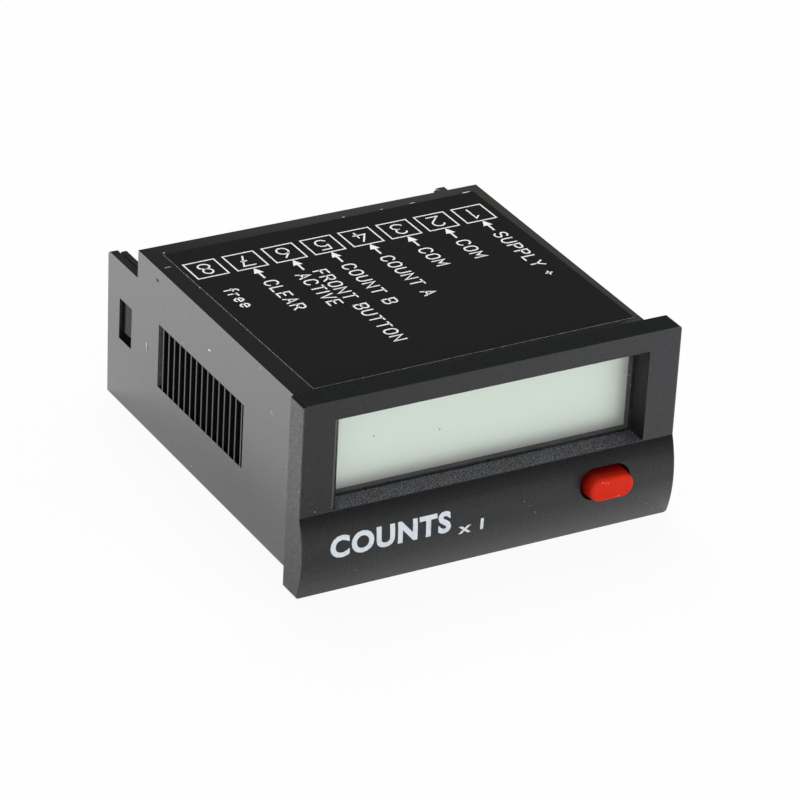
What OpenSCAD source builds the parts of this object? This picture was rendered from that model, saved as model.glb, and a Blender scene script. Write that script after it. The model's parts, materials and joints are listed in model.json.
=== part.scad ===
// Panel counter with a liquid crystal display and a reset key, for a 45 x 22 mm panel cut-out.
// X runs to the right as seen from the front, Y to the rear, Z up.
// The origin is the middle of the bezel's rear face, which lies on the panel.

/* [Bezel] */
// Overhang of the bezel past each side of the body
flange_side = 1.6; // [1:0.1:4]
// Overhang of the bezel above the body
flange_top = 1.45; // [1:0.05:1.7]
// Overhang of the bezel below the body
flange_bottom = 0.75; // [0.5:0.05:4]
// Thickness of the bezel in front of the panel
bezel_t = 3; // [2.5:0.1:5]
// Radius of the bezel's corners
bezel_r = 0.4; // [0.2:0.1:1.2]
// Swell of the lower panel past the frame
bulge = 0.97; // [0.4:0.01:1.6]
// Thickness of the front wall at the lower panel's edges
front_wall = 1.1; // [0.8:0.1:1.5]

/* [Window] */
// Width of the post on each side of the window
post_w = 4; // [3.8:0.1:7]
// Height of the bar above the window
bar_h = 2.35; // [2.2:0.05:4]
// Height of the window
window_h = 11.4; // [9:0.1:12.5]
// Depth of the window's pocket, down to the pane
pocket_d = 2.7; // [1.8:0.1:2.9]
// Thickness of the sill under the window
sill_t = 1; // [0.7:0.1:1.4]
// Thickness of the clear pane
pane_t = 0.8; // [0.5:0.1:1.5]
// Overlap of the pane behind the window's top edge
pane_lap = 0.4; // [0.2:0.05:0.5]

/* [Body] */
// Height of the body
body_h = 21.8; // [21:0.1:30]
// Depth of the body behind the panel
body_d = 48; // [46:0.5:80]
// Thickness of the side walls, ahead of the rear cover
side_wall = 1.8; // [1.4:0.1:2.2]
// Thickness of the side walls beside the rear cover
end_wall = 1; // [0.7:0.1:1.6]
// Thickness of the top and bottom walls
shell = 1; // [0.7:0.1:1.3]
// Length of the notch in the top, over the terminals
notch_len = 7.3; // [6:0.1:8]
// Step from the top down to the side walls at the notch
notch_drop = 3.57; // [2:0.01:4.5]
// Lean of the rear end, back from its foot
rear_lean = 0.45; // [0:0.05:0.8]
// Radius of the side walls' rear top corners
corner_r = 0.5; // [0.2:0.1:1]

/* [Clip racks] */
// Distance from the panel to a rack
rack_start = 13.65; // [8:0.05:14]
// Distance from the rack's front end to the first tooth
rack_lead = 0.3; // [0.2:0.05:1]
// Distance from tooth to tooth
rack_pitch = 1.4; // [1:0.05:1.45]
// Teeth in a rack
rack_teeth = 15; // [6:1:15]
// Width of a tooth's flat land
rack_land = 0.25; // [0.2:0.05:0.5]
// Depth of the gaps
rack_depth = 0.75; // [0.4:0.05:1]
// Height of a rack
rack_h = 8; // [4:0.1:12]

/* [Rear cover] */
// Thickness of the cover's arms and walls
arm_t = 0.75; // [0.6:0.05:1.2]
// Rise of the arms above the notched side walls
arm_rise = 0.1; // [0.05:0.05:1]
// Width of a latch window
latch_w = 3.2; // [2.5:0.1:4]
// Height of a latch window
latch_h = 5.2; // [3:0.1:7]
// Distance from the rear end to a latch window
latch_inset = 2.8; // [2:0.1:3.5]
// Distance from the outside of the wall down to a snap nub
nub_depth = 0.5; // [0.2:0.05:0.7]

/* [Reset key] */
// Length of the key where it leaves the panel
key_l = 6; // [5:0.1:7]
// Height of the key where it leaves the panel
key_h = 3.2; // [3:0.1:3.8]
// Draft of the key's free end, on each side
key_taper = 0.18; // [0.1:0.01:0.6]
// Bevel round the key's face
key_edge = 0.25; // [0.1:0.05:0.4]
// Reach of the key past the crown of the lower panel
key_proud = 1.63; // [1.2:0.01:3]
// Distance from the inside of the side wall to the key's middle
key_inset = 5.8; // [5.8:0.1:9]
// Distance from the window's sill down to the key's middle
key_drop = 3.8; // [3.6:0.05:4]
// Travel of the key
key_travel = 0.8; // [0.4:0.1:0.9]
// Height of the silicone dome
dome_h = 2.9; // [2.4:0.1:3.4]

/* [Display] */
// Depth of the display's steel frame
lcd_frame_d = 4.8; // [4.4:0.1:6]
// Thickness of the frame's sheet
lcd_sheet = 0.3; // [0.2:0.05:0.4]
// Width of the frame's front lip
lcd_lip = 0.45; // [0.4:0.01:1]
// Thickness of one glass plate
glass_t = 1.1; // [0.7:0.1:1.2]
// Ledge where the front plate stands past the rear one
glass_ledge = 1.9; // [1.5:0.1:2.5]
// Thickness of a polarising film
film_t = 0.2; // [0.1:0.05:0.25]

/* [Boards] */
// Thickness of the display board
board_t = 1.2; // [0.8:0.1:1.6]
// Thickness of the main board
main_t = 1.6; // [1:0.1:2]
// Height of the main board above the floor
board_lift = 3.4; // [3:0.1:5]
// Diameter of the filter capacitor
cap_d = 8; // [5:0.5:10]
// Height of the filter capacitor
cap_h = 11.5; // [7:0.5:12]

/* [Terminals] */
// Terminals in the row
poles = 8; // [8:1:12]
// Distance from terminal to terminal
pole_pitch = 5.08; // [4.8:0.01:6]
// Depth of the terminal block
block_d = 9; // [8.6:0.1:10]
// Height of the terminal block
block_h = 10.2; // [9:0.1:10.6]
// Distance from the body's rear end in to the block
block_inset = 1.5; // [1.3:0.1:2.5]

/* [Label] */
// Width of the label
label_w = 41.4; // [20:0.1:42]
// Distance from the panel to the label
label_front = 2.85; // [0.5:0.05:15]
// Distance from the label to the top's rear edge
label_back = 2.05; // [0.5:0.05:10]
// Thickness of the label
label_t = 0.1; // [0.05:0.05:0.3]
// Turn of the label on the top
label_turn = 0.85; // [-1:0.05:1]

/* [Hidden] */
$fn = 64;

// Clearances
block_gap = 0.23;
arm_gap = 0.1;
board_gap = 0.15;
fit_gap = 0.05;
key_gap = 0.31;
frame_gap = 0.5;
over = 1;

// Body, sized from the terminal row outwards
row_w = poles * pole_pitch;
arm_in = row_w / 2 + block_gap;
arm_out = arm_in + arm_t;
end_in = arm_out + arm_gap;
body_x = end_in + end_wall;
in_x = body_x - side_wall;
bezel_x = body_x + flange_side;
bezel_h = body_h + flange_top + flange_bottom;
bezel_top = bezel_h / 2;
bezel_bot = -bezel_top;
body_top = bezel_top - flange_top;
body_bot = bezel_bot + flange_bottom;
body_mid = (body_top + body_bot) / 2;
in_top = body_top - shell;
in_bot = body_bot + shell;
top_end = body_d - notch_len;
notch_top = body_top - notch_drop;

// Front
window_x = bezel_x - post_w;
window_top = bezel_top - bar_h;
window_bot = window_top - window_h;
sill_bot = window_bot - sill_t;
panel_edge = 0.1;
panel_top = window_bot - panel_edge;
panel_mid = (panel_top + bezel_bot) / 2;
panel_h = panel_top - bezel_bot;
crown_r = (panel_h * panel_h / 4 + bulge * bulge) / (2 * bulge);
crown_y = -bezel_t - bulge;
core_y = -bezel_t + front_wall;

// Display, stacked from the pane to the board
pane_y = -bezel_t + pocket_d;
pane_x = in_x - fit_gap * 2;
pane_top = window_top + pane_lap;
pane_foot = 0.15;
pane_bot = sill_bot + pane_foot;
frame_y = pane_y + pane_t;
frame_x = in_x - frame_gap;
frame_top = in_top - 2 * fit_gap;
frame_below = 0.19;
frame_bot = window_bot - frame_below;
glass_y = frame_y + lcd_sheet;
glass_x = frame_x - lcd_sheet - 2 * fit_gap;
glass_top = frame_top - lcd_sheet - fit_gap;
glass_bot = frame_bot + lcd_sheet + fit_gap;
cell_bot = glass_bot + glass_ledge;
film_gap = 0.05;
film_x = frame_x - lcd_lip - film_gap;
film_top = frame_top - lcd_lip - film_gap;
film_bot = frame_bot + lcd_lip + film_gap;
backing_y = glass_y + 2 * glass_t + film_t;
backing_t = 0.8;
board_y = frame_y + lcd_frame_d;
board_back = board_y + board_t;
tab_w = 3;
tab_past = 0.6;
tab_l = board_t + tab_past;
tab_z0 = film_bot + tab_w;
tab_z1 = film_top - tab_w;

// Reset key
key_x = in_x - key_inset;
key_z = window_bot - key_drop;
key_face = crown_y - key_proud;
key_end_r = key_h / 2 - key_taper;
key_flange_t = 1;
key_flange_side = 0.8;
key_flange_rise = 0.7;
key_flange_l = key_l + 2 * key_flange_side;
key_flange_h = key_h + 2 * key_flange_rise;
key_flange_y = core_y + fit_gap;
stem_r = 1.2;
dome_y = board_y - dome_h;
stem_end = dome_y - fit_gap;
rib_w = 1.4;
rib_gap = 0.25;

// Boards and their parts
board_x = min(in_x, arm_in) - board_gap;
main_bot = in_bot + board_lift;
main_top = main_bot + main_t;
main_front = board_back + fit_gap;
rail_w = 1;
rail_t = 0.9;
header_pitch = 2.54;
header_count = 7;
header_h = 2.5;
header_x = header_count * header_pitch / 2;
header_front = 0.7;
header_y = main_front + header_front;
pin_r = 0.3;
pin_past = 0.8;
pin_z = main_top + header_h / 2;
lead_w = 0.4;
lead_t = 0.2;

// Terminal row
block_y1 = body_d - block_inset;
block_y0 = block_y1 - block_d;
block_top = main_top + block_h;
board_short = 0.5;
main_back = block_y1 - board_short;
rebate_y = block_y0 - 2 * board_gap;
cage_w = 3.6;
cage_d = 3.9;
cage_h = 5.8;
cage_back = 1.3;
cage_floor = 1.05;
cage_y0 = block_y1 - cage_back - cage_d;
cage_y1 = block_y1 - cage_back;
cage_z0 = main_top + cage_floor;
cage_z1 = cage_z0 + cage_h;
cage_wall = 0.5;
cage_cap = 0.9;
screw_back = 2.9;
screw_y = block_y1 - screw_back;
tongue_t = 0.8;
tongue_w = 2;
tongue_end = 0.3;
tongue_top = cage_z1 - cage_cap - 2 * fit_gap;
pin_front = 2.4;
pin_y = block_y0 + pin_front;
pin_w = 0.9;
pin_under = 1.5;
screw_r = 1.2;
screw_head_r = 1.8;
screw_head_t = 1.6;
screw_slot = 0.6;
screw_head_z = cage_z1 + cage_wall;
well_r = screw_head_r + board_gap;
wire_w = 3.4;
wire_h = 3.6;
wire_r = 0.5;
wire_lead = 0.35;
wire_rise = 3;
seam = 0.3;
wire_z = main_top + wire_rise;

// Rear cover
bulkhead_t = 1.2;
bulkhead_back = 0.5;
bulkhead_y1 = top_end - bulkhead_back;
bulkhead_y0 = bulkhead_y1 - bulkhead_t;
cover_sunk = 0.6;
cover_y0 = block_y1 + 2 * fit_gap;
cover_y1 = body_d - cover_sunk;
cover_bot = in_bot + 2 * fit_gap;
cover_drop = 0.4;
cover_lip = wire_z - wire_h / 2 - cover_drop;
latch_y0 = body_d - latch_inset - latch_w;
latch_y1 = body_d - latch_inset;
latch_z0 = body_mid - latch_h / 2;
latch_z1 = body_mid + latch_h / 2;
nub_play = 0.3;
nub_foot = 0.7;
nub_y0 = latch_y0 + nub_play;
nub_y1 = latch_y1 - nub_play;
nub_z0 = latch_z0 + nub_foot;
nub_z1 = latch_z1 - 2 * fit_gap;

module span(low, high) {
    translate(low) cube(high - low);
}

// Extrusions of a sketch: sideways (sketch holds Y and Z), rearwards (X and Z), upwards (X and Y)
module along_x(x0, x1) {
    translate([x0, 0, 0]) rotate([90, 0, 90]) linear_extrude(x1 - x0) children();
}

module along_y(y0, y1) {
    translate([0, y1, 0]) rotate([90, 0, 0]) linear_extrude(y1 - y0) children();
}

module along_z(z0, z1) {
    translate([0, 0, z0]) linear_extrude(z1 - z0) children();
}

module both_sides() {
    children();
    mirror([1, 0, 0]) children();
}

module rounded_rect(w, h, r) {
    square([w - 2 * r, h], center = true);
    square([w, h - 2 * r], center = true);
    for (x = [-1, 1], z = [-1, 1])
        translate([x * (w / 2 - r), z * (h / 2 - r)]) circle(r);
}

module obround(l, h) {
    square([l - h, h], center = true);
    for (x = [-1, 1])
        translate([x * (l - h) / 2, 0]) circle(h / 2);
}

module at_poles() {
    for (i = [0 : poles - 1])
        translate([(i - (poles - 1) / 2) * pole_pitch, 0, 0]) children();
}

module at_header_pins() {
    for (i = [0 : header_count - 1])
        translate([(i - (header_count - 1) / 2) * header_pitch, 0, 0]) children();
}

// Side view of the bezel: flat frame above, crowned panel below
module bezel_profile() {
    translate([-bezel_t, panel_top]) square([bezel_t, bezel_top - panel_top]);
    intersection() {
        translate([crown_y + crown_r, panel_mid]) circle(crown_r, $fn = 180);
        translate([crown_y, bezel_bot]) square([-crown_y, panel_h]);
    }
}

module bezel() {
    intersection() {
        along_x(-bezel_x, bezel_x) bezel_profile();
        along_y(crown_y - over, over) rounded_rect(2 * bezel_x, bezel_h, bezel_r);
    }
}

// Side view of the tube, stepped down at the rear, with a rounded top corner there
module tube_profile() {
    polygon([
        [-bezel_t / 2, body_bot], [body_d, body_bot], [body_d + rear_lean, notch_top - corner_r],
        [body_d + rear_lean - corner_r, notch_top], [top_end, notch_top], [top_end, body_top],
        [-bezel_t / 2, body_top]
    ]);
    translate([body_d + rear_lean - corner_r, notch_top - corner_r]) circle(corner_r);
}

// Everything behind the front wall, widened beside the rear cover
module cavity() {
    span([-in_x, pane_y, in_bot], [in_x, body_d + over, in_top]);
    span([-end_in, rebate_y, in_bot], [end_in, body_d + over, in_top]);
    span([-end_in, top_end, in_bot], [end_in, body_d + over, body_top + over]);
    span([-in_x, core_y, in_bot], [in_x, pane_y + over, sill_bot]);
    span([-in_x, pane_y, in_bot], [in_x, frame_y + fit_gap, pane_top + fit_gap]);
}

module window_cut() {
    span([-window_x, crown_y - over, window_bot], [window_x, pane_y + fit_gap, window_top]);
}

module key_hole() {
    translate([key_x, 0, key_z])
        along_y(crown_y - over, core_y + over) obround(key_l + 2 * key_gap, key_h + 2 * key_gap);
}

rack_flat = 0.25;

// Gap behind a tooth: a slope towards the front, a steep face towards the rear
module rack_gap() {
    polygon([
        [-body_x - over, 0], [-body_x, 0], [-body_x + rack_depth, rack_pitch - rack_land - rack_flat],
        [-body_x + rack_depth, rack_pitch - rack_land], [-body_x - over, rack_pitch - rack_land]
    ]);
}

module rack_cut() {
    along_z(body_mid - rack_h / 2, body_mid + rack_h / 2) {
        translate([-body_x - over, rack_start]) square([over + rack_depth, rack_lead]);
        for (i = [0 : rack_teeth - 1])
            translate([0, rack_start + rack_lead + rack_land + i * rack_pitch]) rack_gap();
    }
}

module latch_cut() {
    span(
        [-body_x - over, latch_y0, latch_z0],
        [-end_in + over / 4, latch_y1, latch_z1]
    );
}

// Rails for the main board's edge and the seat for the display board
module board_rails() {
    for (z = [main_bot - fit_gap - rail_t, main_top + fit_gap])
        span([-in_x - fit_gap, main_front + 1, z], [-in_x + rail_w, rebate_y, z + rail_t]);
    span([-in_x - fit_gap, core_y - fit_gap, in_bot - fit_gap], [-in_x + rib_w, board_y, sill_bot - rib_gap]);
}

module housing() color([0.13, 0.13, 0.135]) {
    difference() {
        union() {
            bezel();
            along_x(-body_x, body_x) tube_profile();
        }
        cavity();
        window_cut();
        key_hole();
        both_sides() rack_cut();
        both_sides() latch_cut();
    }
    both_sides() board_rails();
}

module display_window() color([0.8, 0.85, 0.85, 0.3]) {
    span([-pane_x, pane_y, pane_bot], [pane_x, frame_y, pane_top]);
}

// Pressed steel frame with a front lip and twist tabs through the board's edges
module lcd_frame() color([0.2, 0.2, 0.2]) {
    difference() {
        span([-frame_x, frame_y, frame_bot], [frame_x, board_y, frame_top]);
        span(
            [-frame_x + lcd_sheet, glass_y, frame_bot + lcd_sheet],
            [frame_x - lcd_sheet, board_y + over, frame_top - lcd_sheet]
        );
        span(
            [-frame_x + lcd_lip, frame_y - over, frame_bot + lcd_lip],
            [frame_x - lcd_lip, glass_y + over, frame_top - lcd_lip]
        );
    }
    both_sides()
        for (z = [tab_z0, tab_z1])
            span(
                [-frame_x, board_y - over, z - tab_w / 2],
                [-frame_x + lcd_sheet, board_y + tab_l, z + tab_w / 2]
            );
}

// Front plate and shorter rear plate, bonded
module lcd_cell() color([0.75, 0.8, 0.74]) {
    span([-glass_x, glass_y, glass_bot], [glass_x, glass_y + glass_t, glass_top]);
    span([-glass_x, glass_y, cell_bot], [glass_x, glass_y + 2 * glass_t, glass_top]);
}

module lcd_films() color([0.8, 0.84, 0.78]) {
    span([-film_x, glass_y - film_t, film_bot], [film_x, glass_y, film_top]);
    span([-film_x, backing_y - film_t, cell_bot + fit_gap], [film_x, backing_y, film_top]);
}

// White moulded tray that carries the glass off the board
module lcd_backing() color([0.92, 0.92, 0.9]) {
    difference() {
        span([-glass_x, backing_y, cell_bot], [glass_x, board_y, glass_top]);
        span(
            [-glass_x + backing_t, backing_y + backing_t, cell_bot + backing_t],
            [glass_x - backing_t, board_y + over, glass_top - backing_t]
        );
    }
    for (x = [-1, 0, 1])
        span(
            [x * glass_x / 2 - backing_t / 2, backing_y + fit_gap, cell_bot + fit_gap],
            [x * glass_x / 2 + backing_t / 2, board_y, glass_top - fit_gap]
        );
}

module zebra_strip() color([0.35, 0.35, 0.36]) {
    span(
        [-film_x + 2 * lcd_lip, glass_y + glass_t, glass_bot + 2 * fit_gap],
        [film_x - 2 * lcd_lip, board_y, cell_bot - 2 * fit_gap]
    );
}

module display_board() color([0.1, 0.35, 0.18]) {
    difference() {
        span([-board_x, board_y, in_bot + board_gap], [board_x, board_back, in_top - board_gap]);
        both_sides()
            for (z = [tab_z0, tab_z1])
                span(
                    [-board_x - over, board_y - over, z - tab_w / 2 - 2 * fit_gap],
                    [-frame_x + lcd_sheet + 2 * fit_gap, board_back + over, z + tab_w / 2 + 2 * fit_gap]
                );
        at_header_pins()
            translate([0, 0, pin_z]) along_y(board_y - over, board_back + over) circle(pin_r + 2 * fit_gap);
    }
}

// Gull-wing lead in side view: on the board, up, into the body
module lead_profile(reach, rise) {
    square([reach * 0.55, lead_t]);
    translate([reach * 0.45, 0]) square([lead_t, rise]);
    translate([reach * 0.45, rise - lead_t]) square([reach * 0.55 + lead_t, lead_t]);
}

// Leads along one edge of a chip, which lies on the XY plane with that edge towards -Y
module lead_row(count, pitch, edge, reach, rise) {
    for (i = [0 : count - 1])
        translate([(i - (count - 1) / 2) * pitch, -edge - reach, 0])
            along_x(-lead_w / 2, lead_w / 2) lead_profile(reach, rise);
}

chip_w = 8;
chip_t = 1.4;
chip_lift = 0.15;
chip_leads = 9;
chip_pitch = 0.8;
chip_reach = 1;
chip_x = header_x + chip_w / 2 + 1.5 * chip_reach;

// Square chip with leads on its four sides, on the rear of the display board
module controller_chip() color([0.08, 0.08, 0.08]) {
    translate([-chip_x, board_back, film_top - chip_w / 2 - chip_reach - chip_reach / 2]) rotate([-90, 0, 0]) {
        span([-chip_w / 2, -chip_w / 2, chip_lift], [chip_w / 2, chip_w / 2, chip_lift + chip_t]);
        for (a = [0 : 90 : 270])
            rotate([0, 0, a]) lead_row(chip_leads, chip_pitch, chip_w / 2, chip_reach, chip_t / 2);
    }
}

crystal_r = 1.5;
crystal_l = 8;
crystal_lead_r = 0.2;
crystal_lead_l = 1.2;

// Cylinder crystal lying on the rear of the display board
module clock_crystal() color([0.75, 0.75, 0.77]) {
    translate([header_x + 2 * crystal_r, board_back + crystal_r, film_top - crystal_l - crystal_r]) {
        cylinder(h = crystal_l, r = crystal_r);
        for (x = [-crystal_r / 2, crystal_r / 2])
            translate([x, 0, -crystal_lead_l]) cylinder(h = 2 * crystal_lead_l, r = crystal_lead_r);
        span([-crystal_r / 2, -crystal_r, crystal_l / 8], [crystal_r / 2, 0, crystal_l * 7 / 8]);
    }
}

// Tapered obround of half height r1 at y1 and r0 at y0: two cones with a wedge between them
module key_taper_end(y0, y1, r0, r1) {
    half = (key_l - key_h) / 2;
    for (x = [-half, half])
        translate([x, y1, 0]) rotate([90, 0, 0]) cylinder(h = y1 - y0, r1 = r1, r2 = r0);
    along_x(-half, half) polygon([[y0, -r0], [y1, -r1], [y1, r1], [y0, r0]]);
}

module reset_key() color([0.8, 0.12, 0.08]) {
    translate([key_x, 0, key_z]) {
        key_taper_end(key_face + key_edge, crown_y, key_end_r, key_h / 2);
        key_taper_end(key_face, key_face + key_edge, key_end_r - key_edge, key_end_r);
        along_y(crown_y, key_flange_y + fit_gap) obround(key_l, key_h);
        along_y(key_flange_y, key_flange_y + key_flange_t) obround(key_flange_l, key_flange_h);
        along_y(key_flange_y + key_flange_t / 2, stem_end) circle(stem_r);
    }
}

dome_r = 3;
dome_wall = 0.5;
dome_top_r = 1.7;
pill_r = 1.1;

// Domed silicone spring on the display board: the pill under its crown stops the key after its travel
module key_dome() color([0.75, 0.76, 0.78]) {
    translate([key_x, board_y, key_z]) rotate([90, 0, 0])
        rotate_extrude()
            polygon([
                [dome_r - dome_wall, 0], [dome_r, 0], [dome_r, dome_wall],
                [dome_top_r, dome_h - 2 * dome_wall], [dome_top_r, dome_h], [0, dome_h],
                [0, key_travel], [pill_r, key_travel], [pill_r, dome_h - 3 * dome_wall],
                [dome_r - dome_wall, dome_wall]
            ]);
}

// Angled pins: forwards into the display board, down through the main board
module header_pin(r) {
    translate([0, 0, pin_z]) along_y(board_y + lead_t, header_y + header_h / 2 + r) circle(r);
    translate([0, header_y + header_h / 2, 0]) along_z(main_bot - pin_past, pin_z) circle(r);
}

module header_strip() color([0.1, 0.1, 0.1]) {
    difference() {
        span([-header_x, header_y, main_top], [header_x, header_y + header_h, main_top + header_h]);
        at_header_pins() header_pin(pin_r + fit_gap);
    }
}

module header_pins() color([0.8, 0.68, 0.3]) {
    at_header_pins() header_pin(pin_r);
}

module main_board() color([0.1, 0.35, 0.18]) {
    difference() {
        span([-board_x, main_front, main_bot], [board_x, main_back, main_top]);
        at_header_pins()
            translate([0, header_y + header_h / 2, 0])
                along_z(main_bot - over, main_top + over) circle(pin_r + 2 * fit_gap);
        at_poles()
            translate([0, pin_y, 0]) along_z(main_bot - over, main_top + over) circle(pin_w);
    }
}

parts_front = 8;
parts_y = main_front + parts_front;

// Standing can with a rolled groove near its foot
module filter_capacitor() color([0.15, 0.17, 0.22]) {
    groove = 0.4;
    translate([-in_x * 0.6, parts_y + cap_d, main_top])
        difference() {
            cylinder(h = cap_h, d = cap_d);
            translate([0, 0, cap_h * 0.12])
                rotate_extrude() translate([cap_d / 2 + groove / 2, 0]) circle(groove);
            for (a = [0, 60, 120])
                translate([0, 0, cap_h]) rotate([0, 0, a])
                    cube([cap_d * 0.6, groove, groove], center = true);
        }
}

// Regulator lying on its tab, three legs towards the terminals
module voltage_regulator() color([0.1, 0.1, 0.1]) {
    w = 6.5;
    l = 6.1;
    t = 2.3;
    tab = 1;
    leg_pitch = 2.28;
    leg_reach = 2.4;
    translate([in_x * 0.08, parts_y + cap_d, main_top]) {
        span([-w / 2, -l / 2, 0], [w / 2, l / 2, t]);
        span([-w * 0.4, -l / 2 - tab, 0], [w * 0.4, -l / 2 + tab, tab / 2]);
        mirror([0, 1, 0]) lead_row(3, leg_pitch, l / 2, leg_reach, t / 2);
    }
}

// Moulded diode with folded end tabs
module input_diode() color([0.1, 0.1, 0.1]) {
    w = 3.6;
    l = 4.3;
    t = 2.2;
    tab = 0.8;
    tab_out = 0.3;
    translate([in_x * 0.55, parts_y + cap_d, main_top]) {
        span([-w / 2, -l / 2, chip_lift], [w / 2, l / 2, t]);
        for (y = [-l / 2 - tab_out, l / 2 + tab_out - tab])
            span([-tab, y, 0], [tab, y + tab, t / 2]);
    }
}

module memory_chip() color([0.08, 0.08, 0.08]) {
    w = 4.9;
    l = 3.9;
    t = 1.5;
    pitch = 1.27;
    translate([in_x * 0.5, parts_y, main_top]) {
        span([-w / 2, -l / 2, chip_lift], [w / 2, l / 2, t]);
        for (a = [0, 180])
            rotate([0, 0, a]) lead_row(4, pitch, l / 2, chip_reach, t / 2);
    }
}

resistor_w = 1.6;
resistor_l = 3.2;
resistor_t = 0.6;
resistor_front = 3;
ceramic_w = 1.25;
ceramic_l = 2;
ceramic_t = 1;
ceramic_count = 5;

module chip_part(w, l, t) {
    span([-w / 2, -l / 2, 0], [w / 2, l / 2, t]);
}

// One input resistor ahead of each terminal
module chip_resistors() color([0.12, 0.12, 0.12]) {
    at_poles()
        translate([0, block_y0 - resistor_front, main_top])
            chip_part(resistor_w, resistor_l, resistor_t);
}

module chip_capacitors() color([0.6, 0.48, 0.33]) {
    for (i = [1 : ceramic_count])
        translate([-i * 2 * ceramic_w, parts_y - ceramic_l / 2, main_top])
            chip_part(ceramic_w, ceramic_l, ceramic_t);
}

// Tunnel for one pole: clamp chamber, screw well, wire entry and the pin's slot
module pole_cut() {
    span(
        [-cage_w / 2 - board_gap, cage_y0 - board_gap, cage_z0 - board_gap],
        [cage_w / 2 + board_gap, cage_y1 + board_gap, cage_z1 + board_gap]
    );
    translate([0, screw_y, 0]) along_z(cage_z1, block_top + over) circle(well_r);
    translate([0, 0, wire_z]) {
        along_y(cage_y1 - over / 2, block_y1 + over) rounded_rect(wire_w, wire_h, wire_r);
        along_y(block_y1 - wire_lead, block_y1 + over)
            rounded_rect(wire_w + 2 * wire_lead, wire_h + 2 * wire_lead, wire_r + wire_lead);
    }
    span(
        [-tongue_w / 2 - board_gap, pin_y - pin_w, main_top - over],
        [tongue_w / 2 + board_gap, cage_y0, tongue_top + board_gap]
    );
}

// Grooves over the top and down the rear where two poles meet
module seam_cut() {
    span([-seam / 2, block_y0 - over, block_top - seam], [seam / 2, block_y1 + over, block_top + over]);
    span([-seam / 2, block_y1 - seam, main_top - over], [seam / 2, block_y1 + over, block_top]);
}

module terminal_block() color([0.1, 0.1, 0.105]) {
    difference() {
        span([-row_w / 2, block_y0, main_top], [row_w / 2, block_y1, block_top]);
        at_poles() pole_cut();
        for (i = [1 : poles - 1])
            translate([(i - poles / 2) * pole_pitch, 0, 0]) seam_cut();
    }
}

// Rising cages, open front to back for the wire, tapped for the screw
module terminal_clamps() color([0.78, 0.75, 0.65]) {
    at_poles()
        difference() {
            span([-cage_w / 2, cage_y0, cage_z0], [cage_w / 2, cage_y1, cage_z1]);
            span(
                [-cage_w / 2 + cage_wall, cage_y0 - over, cage_z0 + cage_wall],
                [cage_w / 2 - cage_wall, cage_y1 + over, cage_z1 - cage_cap]
            );
            translate([0, screw_y, 0])
                along_z(tongue_top, cage_z1 + over) circle(screw_r + 2 * fit_gap);
        }
}

// Slotted screws whose points bear on the pins' tongues
module terminal_screws() color([0.8, 0.8, 0.82]) {
    at_poles()
        translate([0, screw_y, 0])
            difference() {
                union() {
                    along_z(tongue_top, screw_head_z + fit_gap) circle(screw_r);
                    along_z(screw_head_z, screw_head_z + screw_head_t) circle(screw_head_r);
                }
                span(
                    [-screw_head_r - over, -screw_slot / 2, screw_head_z + screw_head_t / 2],
                    [screw_head_r + over, screw_slot / 2, screw_head_z + screw_head_t + over]
                );
            }
}

// Tongue through the cage, leg down through the board
module terminal_pins() color([0.8, 0.78, 0.7]) {
    at_poles() {
        span(
            [-tongue_w / 2, pin_y - pin_w / 2, tongue_top - tongue_t],
            [tongue_w / 2, cage_y1 - tongue_end, tongue_top]
        );
        span(
            [-pin_w / 2, pin_y - pin_w / 2, main_bot - pin_under],
            [pin_w / 2, pin_y + pin_w / 2, tongue_top]
        );
    }
}

// Snap nub seen from above: a ramp that leads in, a flat, a square end that catches
module nub_profile() {
    polygon([
        [-arm_out + fit_gap, nub_y0], [-arm_out, nub_y0],
        [-body_x + nub_depth, (nub_y0 + nub_y1) / 2],
        [-body_x + nub_depth, nub_y1], [-arm_out + fit_gap, nub_y1]
    ]);
}

// Clip-in frame: two arms, a bulkhead over the terminals and a low wall below the wire entries
module rear_cover() color([0.12, 0.12, 0.125]) {
    both_sides() {
        span([-arm_out, rebate_y + arm_gap, cover_bot], [-arm_in, cover_y1, notch_top + arm_rise]);
        along_z(nub_z0, nub_z1) nub_profile();
    }
    span(
        [-arm_out, bulkhead_y0, block_top + 2 * fit_gap],
        [arm_out, bulkhead_y1, in_top - 2 * fit_gap]
    );
    span([-arm_out, cover_y0, cover_bot], [arm_out, cover_y1, cover_lip]);
}

label_x = 0.6;
label_l = top_end - label_front - label_back;

module label() color([0.09, 0.09, 0.09]) {
    translate([label_x, label_front + label_l / 2, body_top]) rotate([0, 0, label_turn])
        along_z(0, label_t) square([label_w, label_l], center = true);
}

housing();
display_window();
lcd_frame();
lcd_cell();
lcd_films();
lcd_backing();
zebra_strip();
display_board();
controller_chip();
clock_crystal();
reset_key();
key_dome();
header_strip();
header_pins();
main_board();
filter_capacitor();
voltage_regulator();
input_diode();
memory_chip();
chip_resistors();
chip_capacitors();
terminal_block();
terminal_clamps();
terminal_screws();
terminal_pins();
rear_cover();
label();
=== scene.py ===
import json
import math
import random

import bmesh
import bpy
from mathutils import Matrix, Vector


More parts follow.
